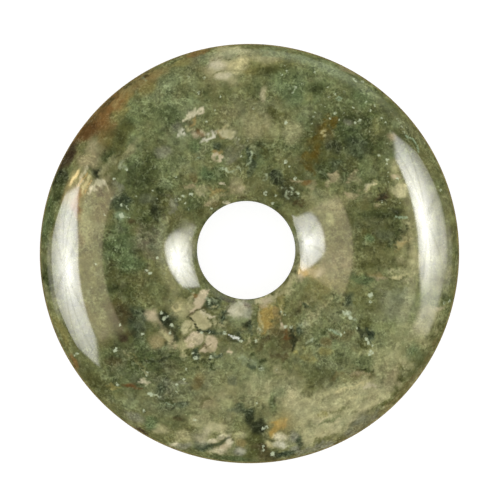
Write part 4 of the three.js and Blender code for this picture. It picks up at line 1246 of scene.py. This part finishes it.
@dataclass
class Stone:
    """The polished ring as one closed mesh that stands in for the frame's faceted one.

    around and the rows are the grid's steps, and a bend share says how much closer rows stand where
    the section turns. A warm glow is painted on the rim, in place of light coming through its thin
    edge: it starts at rim_glow_start of the way from the hole to the rim, and reaches rim_glow_reach
    millimetres below the middle plane. Under that plane the pattern is sheared, and its marks cover
    by under_cover.
    """

    node: str = "donut"
    slot: str = "moss_agate"
    around: int = 640
    upper_rows: int = 130
    lower_rows: int = 26
    upper_bend_share: float = 0.18
    lower_bend_share: float = 0.5
    shear: tuple[float, float] = (0.9, -0.55)
    rim_glow_start: float = 0.987
    rim_glow_ink: Ink = Ink.RIM_GLOW
    rim_glow_share: float = 0.7
    rim_glow_reach: float = 0.3
    under_cover: float = 0.5

    def section(self) -> RingSection:
        """Takes the outer size from the frame's box, in millimetres."""
        low, high = (np.array(corner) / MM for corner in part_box(self.node))
        return RingSection(outer_radius=(high[0] - low[0]) / 2, half_thickness=(high[2] - low[2]) / 2)

    def surface(self) -> tuple[np.ndarray, np.ndarray]:
        """Carries the section round the ring, each of its circles off the centre as the section says.

        Returns:
            Points in millimetres, one row of the grid for each row of the section, and each row's
            place across the ring: 0 at the hole's wall and 1 at the rim.
        """
        section = self.section()
        upper = section.rows(self.upper_rows, self.upper_bend_share)
        lower = section.rows(self.lower_rows, self.lower_bend_share)[::-1][1:-1] * [1, -1]
        outline = np.concatenate([upper, lower])
        radius, height = outline[:, :1], outline[:, 1:]
        angle = np.linspace(0.0, 2 * np.pi, self.around, endpoint=False)[None, :]
        share = (section.outer_radius - radius) / (section.outer_radius - section.hole_radius)
        shift_x, shift_y = section.offset(radius)
        x, y = radius * np.cos(angle) + shift_x, radius * np.sin(angle) + shift_y
        z = np.broadcast_to(height + section.half_thickness, x.shape)
        return np.stack([x, y, z], -1), np.broadcast_to(1 - share, x.shape)

    def dress(self, mesh: bpy.types.Mesh, points: np.ndarray, across: np.ndarray) -> None:
        """Paints the pattern into the mesh's attributes.

        Below the middle plane the pattern is looked up at a place sheared by the depth, so that the
        two faces differ as the two faces of a slice do.

        Args:
            mesh: the stone's mesh.
            points: its vertices in millimetres, one a row.
            across: each one's place across the ring, 0 to 1.
        """
        middle = self.section().half_thickness
        depth = np.clip(middle - points[:, 2], 0.0, None)
        at = points[:, :2] + depth[:, None] * self.shear
        face = Face(at, points)
        pattern = MossPattern()
        body, moss = pattern.paint(face)
        # The rim band is a painted glow: warm colour near the rim, in place of light coming through the
        # thin edge, fading out just below the middle plane.
        rim = self.rim_glow_share * smooth(self.rim_glow_start, 1.0, across[:, None])
        rim *= 1 - smooth(0.0, self.rim_glow_reach, depth[:, None])
        body = body * (1 - rim) + np.array(self.rim_glow_ink.value[:3]) * rim
        ink, edge = pattern.marks(face)
        cover = ink[:, 3] * np.where(points[:, 2] > middle, 1.0, self.under_cover)
        # body carries the stone's colours together with the painted rim glow and the painted highlight
        # and reflection among the clouds.
        self.write(mesh, "body", np.column_stack([srgb_to_linear(body), np.ones(len(body))]))
        self.write(mesh, "mark_ink", np.column_stack([srgb_to_linear(ink[:, :3]), np.ones(len(ink))]))
        for name, value in (("moss", moss), ("mark_edge", edge), ("mark_cover", cover)):
            self.write(mesh, name, value)

    def write(self, mesh: bpy.types.Mesh, name: str, value: np.ndarray) -> None:
        """Writes one attribute, a colour where value has four columns and a number where it has none."""
        coloured = value.ndim == 2
        attribute = mesh.attributes.new(name, "FLOAT_COLOR" if coloured else "FLOAT", "POINT")
        attribute.data.foreach_set("color" if coloured else "value", value.astype(np.float32).ravel())

    def build(self) -> bpy.types.Object:
        """Makes the mesh object, with the grid closed both ways.

        Returns:
            The stone's object, smooth and painted.
        """
        points, ring_share = self.surface()
        rows, columns = points.shape[:2]
        number = np.arange(rows * columns).reshape(rows, columns)
        right, down = np.roll(number, -1, 1), np.roll(number, -1, 0)
        across = np.roll(right, -1, 0)
        quads = np.stack([number, right, across, down], -1).reshape(-1, 4)
        mesh = bpy.data.meshes.new("moss_agate_stone")
        mesh.from_pydata((points.reshape(-1, 3) * MM).tolist(), [], quads.tolist())
        mesh.polygons.foreach_set("use_smooth", np.ones(len(mesh.polygons), bool))
        mesh.update()
        self.dress(mesh, points.reshape(-1, 3), ring_share.ravel())
        stone = bpy.data.objects.new("moss_agate_stone", mesh)
        bpy.context.scene.collection.objects.link(stone)
        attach(stone, "root")
        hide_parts(self.node)
        return stone


@dataclass(frozen=True)
class Fibres:
    """A part of the stone where its grain is drawn out into bent fibres.

    turn is their direction in degrees anticlockwise from +X, and middle and reach are where they
    lie and how far, in millimetres. They fade from the first to the second share of the reach. Each
    is about width thick, and stretch times as long.
    """

    turn: float
    middle: tuple[float, float]
    reach: float
    strength: float = 1.0
    width: float = 0.5
    stretch: float = 4.0
    fade: tuple[float, float] = (0.5, 1.3)
    face_height: float = 6.0

    def streaks(self, nodes: NodeTree, place: object, bent: object) -> bpy.types.NodeSocket:
        """Adds the nodes that draw them.

        Args:
            nodes: the material's nodes.
            place: the socket of positions on the stone.
            bent: the same, with a broad twist.

        Returns:
            A socket of noise that is 0 on average, and 0 out of reach.
        """
        c, s = math.cos(math.radians(self.turn)), math.sin(math.radians(self.turn))
        axes = nodes.add("ShaderNodeCombineXYZ")
        along, across = (c / self.stretch, s / self.stretch, 0), (-s, c, 0)
        for name, axis in (("X", along), ("Y", across), ("Z", (0, 0, 1))):
            nodes.set(axes, **{name: nodes.vector("DOT_PRODUCT", bent, axis).outputs["Value"]})
        centre = tuple(v * MM for v in (*self.middle, self.face_height))
        away = nodes.vector("DISTANCE", place, centre)
        inner, outer = (self.reach * share * MM for share in self.fade)
        near = nodes.math("SUBTRACT", 1.0, nodes.rise(away.outputs["Value"], inner, outer))
        streak = nodes.math("SUBTRACT", nodes.noise(axes.outputs[0], self.width, 3.0, 0.6), 0.5)
        return nodes.math("MULTIPLY", streak, nodes.math("MULTIPLY", near, self.strength))


@dataclass(frozen=True)
class MossAgate:
    """The stone's finish: glassy polish over a grainy body with fine threads and flecks.

    Waves are the sizes of noise in millimetres, strengths are how much a detail shows, bare values
    are what is left of it where there is no moss, and edges are the values of noise between which
    it comes up.
    """

    name: str = "moss_agate"
    ior: float = 1.54
    polish: float = 0.06
    coarse_wave: float = 0.75
    coarse_strength: float = 1.7
    coarse_bare: float = 0.2
    fine_wave: float = 0.2
    fine_strength: float = 1.8
    fine_bare: float = 0.3
    patch_wave: float = 2.4
    patch_low: float = 0.45
    patch_edge: tuple[float, float] = (0.4, 0.62)
    twist_wave: float = 3.0
    twist: float = 1.6
    gap_wave: float = 0.7
    gap_strength: float = 0.4
    gap_edge: tuple[float, float] = (0.53, 0.66)
    fibres: tuple[Fibres, ...] = (
        Fibres(22, (9.0, -14.0), 8.0),
        Fibres(50, (7.0, -8.5), 4.5),
        Fibres(84, (11.0, 8.0), 6.5, 0.8),
        Fibres(78, (17.5, 1.0), 6.0, 1.2),
        Fibres(65, (2.5, 14.0), 5.5, 0.7),
        Fibres(50, (-11.5, 13.0), 5.0, 0.6),
        Fibres(80, (-12.0, -1.0), 6.0, 0.6),
        Fibres(-25, (-7.5, -14.5), 6.0, 0.7),
        Fibres(70, (0.0, -13.5), 4.5, 0.7),
    )
    thread_waves: tuple[float, ...] = (0.9, 1.5)
    thread_ink: Ink = Ink.LICHEN
    thread_strength: float = 0.4
    thread_edge: tuple[float, float] = (0.008, 0.035)
    thread_shown: tuple[float, float] = (0.5, 0.62)
    crumb_waves: tuple[float, ...] = (0.24, 0.4)
    crumb_ink: Ink = Ink.CHALK
    crumb_strength: float = 0.55
    crumb_edge: tuple[float, float] = (0.54, 0.74)
    crumb_shown: tuple[float, float] = (0.42, 0.64)
    dot_spacing: float = 0.75
    dot_edge: tuple[float, float] = (0.05, 0.16)
    dot_shown: tuple[float, float] = (0.62, 1.15)
    mark_edge: tuple[float, float] = (0.38, 0.62)
    mark_fray_fine: float = 0.5
    mark_fray_coarse: float = 0.35
    ink_gain: float = 2.6
    ink_share: float = 0.3

    def grain(self, nodes: NodeTree, place: bpy.types.NodeSocket, wave: float, detail: float,
              rough: float) -> bpy.types.NodeSocket:
        """Gives noise that is 0 on average."""
        return nodes.math("SUBTRACT", nodes.noise(place, wave, detail, rough), 0.5)

    def threads(self, nodes: NodeTree, place: bpy.types.NodeSocket, wave: float) -> bpy.types.NodeSocket:
        """Draws short curved threads: where one noise crosses its middle and another is high.

        Args:
            nodes: the material's nodes.
            place: the socket of positions on the stone.
            wave: how far apart the threads run.

        Returns:
            A socket of 1 on a thread and 0 off it.
        """
        away = nodes.math("ABSOLUTE", self.grain(nodes, place, wave, 2.0, 0.55))
        line = nodes.math("SUBTRACT", 1.0, nodes.rise(away, *self.thread_edge))
        shown = nodes.rise(nodes.noise(place, wave * 0.8, 1.0), *self.thread_shown)
        return nodes.math("MULTIPLY", line, shown)

    def crumbs(self, nodes: NodeTree, place: bpy.types.NodeSocket, wave: float) -> bpy.types.NodeSocket:
        """Draws pale crumbs that gather in patches.

        Args:
            nodes: the material's nodes.
            place: the socket of positions on the stone.
            wave: the crumbs' size.

        Returns:
            A socket of 1 in a crumb and 0 between them.
        """
        crumb = nodes.rise(nodes.noise(place, wave, 1.0), *self.crumb_edge)
        patch = nodes.rise(nodes.noise(place, wave * 4, 2.0), *self.crumb_shown)
        return nodes.math("MULTIPLY", crumb, patch)

    def dots(self, nodes: NodeTree, place: bpy.types.NodeSocket) -> bpy.types.NodeSocket:
        """Draws a sharp white dot in some cells of a random lattice, each as bright as its cell says."""
        cells = nodes.add("ShaderNodeTexVoronoi", voronoi_dimensions="3D")
        nodes.set(cells, Vector=place, Scale=1 / (self.dot_spacing * MM))
        cell = nodes.add("ShaderNodeSeparateColor")
        nodes.set(cell, Color=cells.outputs["Color"])
        dot = nodes.math("SUBTRACT", 1.0, nodes.rise(cells.outputs["Distance"], *self.dot_edge))
        return nodes.math("MULTIPLY", dot, nodes.rise(cell.outputs[0], *self.dot_shown))

    def colour(self, nodes: NodeTree, place: bpy.types.NodeSocket) -> bpy.types.NodeSocket:
        """Adds the fine detail to the painted colours.

        Args:
            nodes: the material's nodes.
            place: the socket of positions on the stone.

        Returns:
            The colour socket.
        """
        def painted(name: str, output: str) -> bpy.types.NodeSocket:
            """Reads one attribute of the mesh."""
            return nodes.add("ShaderNodeAttribute", attribute_name=name).outputs[output]

        def pale(ink: Ink) -> bpy.types.NodeSocket:
            """Mixes an ink with a brighter body, so that it is darker where the stone is."""
            return nodes.blend(self.ink_share, bright, (*srgb_to_linear(ink.value[:3]), 1.0))

        body, moss = painted("body", "Color"), painted("moss", "Fac")
        bright = nodes.scaled(body, self.ink_gain)
        twist = nodes.add("ShaderNodeTexNoise")
        nodes.set(twist, Vector=place, Scale=1 / (self.twist_wave * MM), Detail=2.0)
        reach = (self.twist * MM,) * 3
        bent = nodes.vector("MULTIPLY_ADD", twist.outputs["Color"], reach, place).outputs[0]
        coarse = self.grain(nodes, bent, self.coarse_wave, 2.0, 0.7)
        fine = self.grain(nodes, place, self.fine_wave, 1.0, 0.6)
        patch = nodes.rise(nodes.noise(place, self.patch_wave, 2.0), *self.patch_edge)
        patch = nodes.math("MULTIPLY_ADD", patch, 1 - self.patch_low, self.patch_low)
        fine_moss = nodes.math("MULTIPLY_ADD", moss, 1 - self.fine_bare, self.fine_bare)
        patch = nodes.math("MULTIPLY", patch, fine_moss)
        fine_share = nodes.math("MULTIPLY", nodes.math("MULTIPLY", fine, self.fine_strength), patch)
        coarse_moss = nodes.math("MULTIPLY_ADD", moss, 1 - self.coarse_bare, self.coarse_bare)
        mottle = nodes.math("MULTIPLY", coarse, self.coarse_strength)
        mottle = nodes.math("MULTIPLY_ADD", mottle, coarse_moss, fine_share)
        for zone in self.fibres:
            mottle = nodes.math("ADD", mottle, zone.streaks(nodes, place, bent))
        light = nodes.math("EXPONENT", mottle)
        gap = nodes.rise(nodes.noise(place, self.gap_wave, 2.0, 0.7, 0.5), *self.gap_edge)
        hidden = nodes.math("MULTIPLY", nodes.math("MULTIPLY", gap, moss), self.gap_strength)
        light = nodes.math("MULTIPLY", light, nodes.math("SUBTRACT", 1.0, hidden))
        colour = nodes.scaled(body, light)

        for wave in self.thread_waves:
            shown = nodes.math("MULTIPLY", self.threads(nodes, place, wave), patch)
            shown = nodes.math("MULTIPLY", shown, self.thread_strength)
            colour = nodes.blend(shown, colour, pale(self.thread_ink))
        for wave in self.crumb_waves:
            shown = nodes.math("MULTIPLY", self.crumbs(nodes, place, wave), patch)
            shown = nodes.math("MULTIPLY", shown, self.crumb_strength)
            colour = nodes.blend(shown, colour, pale(self.crumb_ink))
        shown = nodes.math("MULTIPLY", self.dots(nodes, place), moss)
        colour = nodes.blend(shown, colour, pale(Ink.FROST))

        ragged = nodes.math("MULTIPLY", coarse, self.mark_fray_coarse)
        ragged = nodes.math("MULTIPLY_ADD", fine, self.mark_fray_fine, ragged)
        frayed = nodes.rise(nodes.math("ADD", ragged, painted("mark_edge", "Fac")), *self.mark_edge)
        inside = nodes.math("MULTIPLY", frayed, painted("mark_cover", "Fac"))
        return nodes.blend(inside, colour, painted("mark_ink", "Color"))

    def material(self) -> bpy.types.Material:
        """Builds the node material."""
        material = bpy.data.materials.new(self.name)
        material.use_nodes = True
        nodes = NodeTree(material.node_tree)
        out = nodes.add("ShaderNodeOutputMaterial")
        shader = nodes.add("ShaderNodeBsdfPrincipled")
        place = nodes.add("ShaderNodeTexCoord").outputs["Object"]
        nodes.set(shader, Base_Color=self.colour(nodes, place), IOR=self.ior, Roughness=self.polish)
        nodes.set(out, Surface=shader.outputs[0])
        return material


@dataclass(frozen=True)
class Umbrella:
    """A round studio umbrella with straight edges between its ribs, as the polish mirrors it.

    bearing and height say where its middle is: degrees round from +X, and down from straight above.
    Everything else is measured in its own plane, one unit from the eye, as (across, up) with across
    running anticlockwise round the sky. The cloth has a level of its own, which climbs from nothing
    at its foot, and the bulb behind it adds a broad glow and a hot spot. A ramp on one side darkens
    the cloth.
    """

    bearing: float
    height: float
    radius: float
    rib_hub: tuple[float, float]
    cloth: float
    side_ramp: tuple[float, float]
    side_share: float
    glow_at: tuple[float, float]
    glow_size: tuple[float, float]
    glow_strength: float
    spot_at: tuple[float, float]
    spot_size: tuple[float, float]
    spot_strength: float
    tint: tuple[float, float, float]
    soft_edge: float = 0.02
    ribs: int = 8
    rib_turn: float = 14.0
    rib_width: float = 0.022
    rib_shade: float = 0.3
    climb: tuple[float, float] = (-0.52, -0.22)

    def plane(self, nodes: NodeTree, direction: bpy.types.NodeSocket) -> list[bpy.types.NodeSocket]:
        """Projects a direction on the umbrella's plane.

        Each coordinate is the direction's share along one of the plane's axes over its share along
        the line from the eye to the umbrella's middle.

        Args:
            nodes: the world's nodes.
            direction: socket with the direction looked in.

        Returns:
            Sockets with across, up, and the share along the line, which is above 0 in front.
        """
        turn, fall = math.radians(self.bearing), math.radians(self.height)
        middle = (math.sin(fall) * math.cos(turn), math.sin(fall) * math.sin(turn), math.cos(fall))
        across = (-math.sin(turn), math.cos(turn), 0.0)
        up = (-math.cos(fall) * math.cos(turn), -math.cos(fall) * math.sin(turn), math.sin(fall))
        shares = []
        for axis in (across, up, middle):
            shares.append(nodes.vector("DOT_PRODUCT", direction, axis).outputs["Value"])
        ahead = nodes.math("MAXIMUM", shares[2], LEAST_AHEAD)
        return [nodes.math("DIVIDE", shares[0], ahead), nodes.math("DIVIDE", shares[1], ahead), shares[2]]

    def wedge(self, nodes: NodeTree, across: object, up: object) -> list[bpy.types.NodeSocket]:
        """Finds where a point lies between two ribs.

        Args:
            nodes: the world's nodes.
            across: socket with the distance sideways from the hub.
            up: socket with the distance upwards from it.

        Returns:
            Sockets with the distance from the hub, and the angle from the middle between the ribs
            that the point is between, in radians.
        """
        gap = 2 * math.pi / self.ribs
        reach = nodes.math("SQRT", nodes.math("ADD", nodes.math("POWER", across, 2.0),
                                              nodes.math("POWER", up, 2.0)))
        angle = nodes.math("SUBTRACT", nodes.math("ARCTAN2", up, across), math.radians(self.rib_turn))
        return [reach, nodes.math("WRAP", nodes.math("SUBTRACT", angle, gap / 2), gap / 2, -gap / 2)]

    def bump(self, nodes: NodeTree, plane: tuple, middle: tuple[float, float],
             size: tuple[float, float]) -> bpy.types.NodeSocket:
        """Gives e to the minus d squared, where d is the distance from the middle over the size."""
        squares = []
        for value, start, width in zip(plane, middle, size):
            share = nodes.math("DIVIDE", nodes.math("SUBTRACT", value, start), width)
            squares.append(nodes.math("POWER", share, 2.0))
        return nodes.math("EXPONENT", nodes.math("MULTIPLY", nodes.math("ADD", *squares), -1.0))

    def glow(self, nodes: NodeTree, direction: bpy.types.NodeSocket) -> bpy.types.NodeSocket:
        """Adds the nodes that draw the umbrella.

        Args:
            nodes: the world's nodes.
            direction: socket with the direction looked in.

        Returns:
            A colour socket with its brightness in that direction.
        """
        across, up, ahead = self.plane(nodes, direction)
        half = math.pi / self.ribs
        reach, angle = self.wedge(nodes, across, up)
        flat = nodes.math("MULTIPLY", reach, nodes.math("COSINE", angle))
        edge = self.radius * math.cos(half)
        outside = nodes.rise(flat, edge - self.soft_edge, edge + self.soft_edge)
        in_front = nodes.math("GREATER_THAN", ahead, LEAST_AHEAD)
        inside = nodes.math("MULTIPLY", nodes.math("SUBTRACT", 1.0, outside), in_front)

        from_hub = [nodes.math("SUBTRACT", value, hub) for value, hub in zip((across, up), self.rib_hub)]
        reach, angle = self.wedge(nodes, *from_hub)
        away = nodes.math("SINE", nodes.math("SUBTRACT", half, nodes.math("ABSOLUTE", angle)))
        off_rib = nodes.rise(nodes.math("MULTIPLY", reach, away), 0.0, self.rib_width)
        ribbed = nodes.math("MULTIPLY_ADD", off_rib, self.rib_shade, 1 - self.rib_shade)

        cloth = nodes.math("MULTIPLY", nodes.rise(up, *self.climb), self.cloth)
        broad = self.bump(nodes, (across, up), self.glow_at, self.glow_size)
        cloth = nodes.math("MULTIPLY_ADD", broad, self.glow_strength, cloth)
        side = nodes.rise(across, *self.side_ramp)
        side = nodes.math("MULTIPLY_ADD", side, 1 - self.side_share, self.side_share)
        cloth = nodes.math("MULTIPLY", nodes.math("MULTIPLY", cloth, side), ribbed)
        spot = self.bump(nodes, (across, up), self.spot_at, self.spot_size)
        lit = nodes.math("MULTIPLY_ADD", spot, self.spot_strength, cloth)
        return nodes.scaled(self.tint, nodes.math("MULTIPLY", lit, inside))


@dataclass(frozen=True)
class SoftPanel:
    """A pale panel of the room as the polish mirrors it, even but for its soft edges.

    heights are degrees down from straight above, as (starts, full, full, ends), and bearings are
    degrees round from the panel's own bearing, in the same form.
    """

    bearing: float
    heights: tuple[float, float, float, float]
    bearings: tuple[float, float, float, float]
    tint: tuple[float, float, float]

    def glow(self, nodes: NodeTree, direction: bpy.types.NodeSocket) -> bpy.types.NodeSocket:
        """Adds the nodes that draw the panel.

        Args:
            nodes: the world's nodes.
            direction: socket with the direction looked in.

        Returns:
            A colour socket with its brightness in that direction.
        """
        axes = nodes.add("ShaderNodeSeparateXYZ")
        nodes.set(axes, Vector=direction)
        height = nodes.math("DEGREES", nodes.math("ARCCOSINE", axes.outputs["Z"]))
        bearing = nodes.math("DEGREES", nodes.math("ARCTAN2", axes.outputs["Y"], axes.outputs["X"]))
        turned = nodes.math("WRAP", nodes.math("SUBTRACT", bearing, self.bearing), 180.0, -180.0)
        shares = []
        for value, (start, full, still_full, end) in ((height, self.heights), (turned, self.bearings)):
            shares.append(nodes.rise(value, start, full))
            shares.append(nodes.math("SUBTRACT", 1.0, nodes.rise(value, still_full, end)))
        level, around = nodes.math("MULTIPLY", *shares[:2]), nodes.math("MULTIPLY", *shares[2:])
        inside = nodes.math("MULTIPLY", level, around)
        return nodes.scaled(self.tint, inside)


LEFT_UMBRELLA = Umbrella(
    bearing=187.5,
    height=47.5,
    radius=0.39,
    rib_hub=(-0.03, 0.09),
    cloth=3.9,
    side_ramp=(-0.6, -0.5),
    side_share=1.0,
    glow_at=(-0.08, 0.12),
    glow_size=(0.33, 0.3),
    glow_strength=11.5,
    spot_at=(-0.02, 0.16),
    spot_size=(0.07, 0.12),
    spot_strength=9.0,
    tint=(1.0, 0.99, 0.97),
)
RIGHT_UMBRELLA = Umbrella(
    bearing=9,
    height=46.5,
    radius=0.4,
    rib_hub=(0.02, 0.2),
    cloth=2.6,
    side_ramp=(-0.27, -0.15),
    side_share=0.4,
    glow_at=(0.06, 0.2),
    glow_size=(0.26, 0.28),
    glow_strength=13.5,
    spot_at=(0.0, 0.24),
    spot_size=(0.11, 0.1),
    spot_strength=12.0,
    tint=(1.0, 0.99, 0.95),
)
LEFT_VEIL = SoftPanel(187, (8.5, 10.5, 27, 32), (-33, -31, 23, 25), (2.8, 2.3, 1.6))
RIGHT_VEIL = SoftPanel(8, (18, 23, 25.5, 28), (-34, -28, 24, 28), (2.0, 1.85, 1.05))
WARM_VEIL = SoftPanel(158, (26, 32, 56, 64), (-5, -2, 5, 9), (3.2, 2.2, 1.0))
GOLD_GLINT = SoftPanel(155, (46, 48.5, 50.5, 53), (-1.6, -0.6, 1.4, 2.4), (14.0, 10.5, 5.2))
LOW_GLINT = SoftPanel(157.4, (49.5, 52, 54, 56.5), (-1.6, -0.6, 1.2, 2.2), (14.0, 10.5, 5.2))
PALE_WALL = SoftPanel(74, (52, 74, 86, 100), (-40, -14, 18, 40), (0.9, 1.0, 0.9))
FAR_WINDOW = SoftPanel(-19, (31, 40, 54, 66), (-8, -3, 5, 12), (3.7, 3.6, 3.2))
RIGHT_SHINE = SoftPanel(-7, (30, 34, 50, 60), (-7, -3, 5, 10), (3.3, 3.2, 2.5))
RIGHT_EDGE = SoftPanel(8, (50, 54, 59, 66), (-14, -7, 10, 15), (1.5, 1.4, 1.2))
RIGHT_WALL = SoftPanel(0, (48, 60, 72, 90), (-14, -8, 4, 14), (2.0, 1.9, 1.6))
LEFT_WALL = SoftPanel(187, (58, 66, 76, 88), (-13, -7, 8, 14), (2.2, 2.1, 1.8))
MIRRORED = (
    LEFT_UMBRELLA, RIGHT_UMBRELLA, LEFT_VEIL, RIGHT_VEIL, WARM_VEIL, GOLD_GLINT, PALE_WALL,
    FAR_WINDOW, LOW_GLINT, RIGHT_SHINE, RIGHT_EDGE, RIGHT_WALL, LEFT_WALL,
)


@dataclass
class Studio:
    """The table, the light and the camera."""

    stone: RingSection
    photo_pixels: float = 500.0
    donut_pixels: float = 419.4
    donut_centre: tuple[float, float] = (249.48, 253.57)
    lens: float = 800.0
    sensor: float = 36.0
    near_clip: float = 0.01
    table_size: float = 3.0
    table_colour: tuple[float, float, float, float] = (0.3, 0.3, 0.3, 1.0)
    table_glow: float = 0.86

    def camera(self) -> bpy.types.Object:
        """Hangs the camera above the stone, so far off that it fills its share of the picture.

        Returns:
            The camera's object.
        """
        per_pixel = 2 * self.stone.outer_radius * MM / self.donut_pixels
        data = bpy.data.cameras.new("overhead")
        data.lens = self.lens
        data.sensor_width = self.sensor
        data.clip_start = self.near_clip
        eye = bpy.data.objects.new("overhead", data)
        distance = per_pixel * self.photo_pixels * self.lens / self.sensor
        middle = self.photo_pixels / 2
        eye.location = (
            (middle - self.donut_centre[0]) * per_pixel,
            (self.donut_centre[1] - middle) * per_pixel,
            self.stone.half_thickness * MM + distance,
        )
        bpy.context.scene.collection.objects.link(eye)
        bpy.context.scene.camera = eye
        return eye

    def table(self) -> bpy.types.Object:
        """Makes the pale table, a little lit from within as a light table is.

        Returns:
            The table's object.
        """
        half = self.table_size / 2
        mesh = bpy.data.meshes.new("table")
        corners = [(-half, -half, 0), (half, -half, 0), (half, half, 0), (-half, half, 0)]
        mesh.from_pydata(corners, [], [(0, 1, 2, 3)])
        table = bpy.data.objects.new("table", mesh)
        bpy.context.scene.collection.objects.link(table)
        material = bpy.data.materials.new("table_white")
        material.use_nodes = True
        nodes = NodeTree(material.node_tree)
        shader = nodes.add("ShaderNodeBsdfPrincipled")
        nodes.set(shader, Base_Color=self.table_colour, Roughness=1.0, Specular_IOR_Level=0.0,
                  Emission_Color=(1, 1, 1, 1), Emission_Strength=self.table_glow)
        nodes.set(nodes.add("ShaderNodeOutputMaterial"), Surface=shader.outputs[0])
        mesh.materials.append(material)
        table.visible_glossy = False
        return table

    def light(self) -> bpy.types.World:
        """Lights the room: an even pale dome for soft shade, and the lamps for the polish to mirror.

        Returns:
            The scene's world.
        """
        world = bpy.data.worlds.new("studio")
        bpy.context.scene.world = world
        world.use_nodes = True
        world.cycles.sampling_method = "NONE"
        nodes = NodeTree(world.node_tree)
        direction = nodes.add("ShaderNodeTexCoord").outputs["Generated"]
        mirrored = MIRRORED[0].glow(nodes, direction)
        for source in MIRRORED[1:]:
            mirrored = nodes.vector("ADD", mirrored, source.glow(nodes, direction)).outputs[0]
        path = nodes.add("ShaderNodeLightPath")
        glossy = nodes.add("ShaderNodeBackground")
        nodes.set(glossy, Color=mirrored)
        plain = nodes.add("ShaderNodeBackground")
        nodes.set(plain, Color=(1, 1, 1, 1), Strength=1.0)
        either = nodes.add("ShaderNodeMixShader")
        nodes.set(either, i0=path.outputs["Is Glossy Ray"], i1=plain.outputs[0], i2=glossy.outputs[0])
        nodes.set(nodes.add("ShaderNodeOutputWorld"), Surface=either.outputs[0])
        return world

    def build(self) -> None:
        """Sets up the camera, the table, the light and plain colour handling."""
        self.camera()
        self.table()
        self.light()
        bpy.context.scene.view_settings.view_transform = "Standard"


def main() -> None:
    """Builds the stone and its studio, and reports each piece."""
    logging.basicConfig(level=logging.INFO, format="%(message)s")
    maker = Stone()
    stone = maker.build()
    stone.data.materials.append(MossAgate().material())
    LOG.info("%s: %d faces", stone.name, len(stone.data.polygons))
    Studio(maker.section()).build()
    LOG.info("table, light and camera are set")


if __name__ == "__main__":
    main()
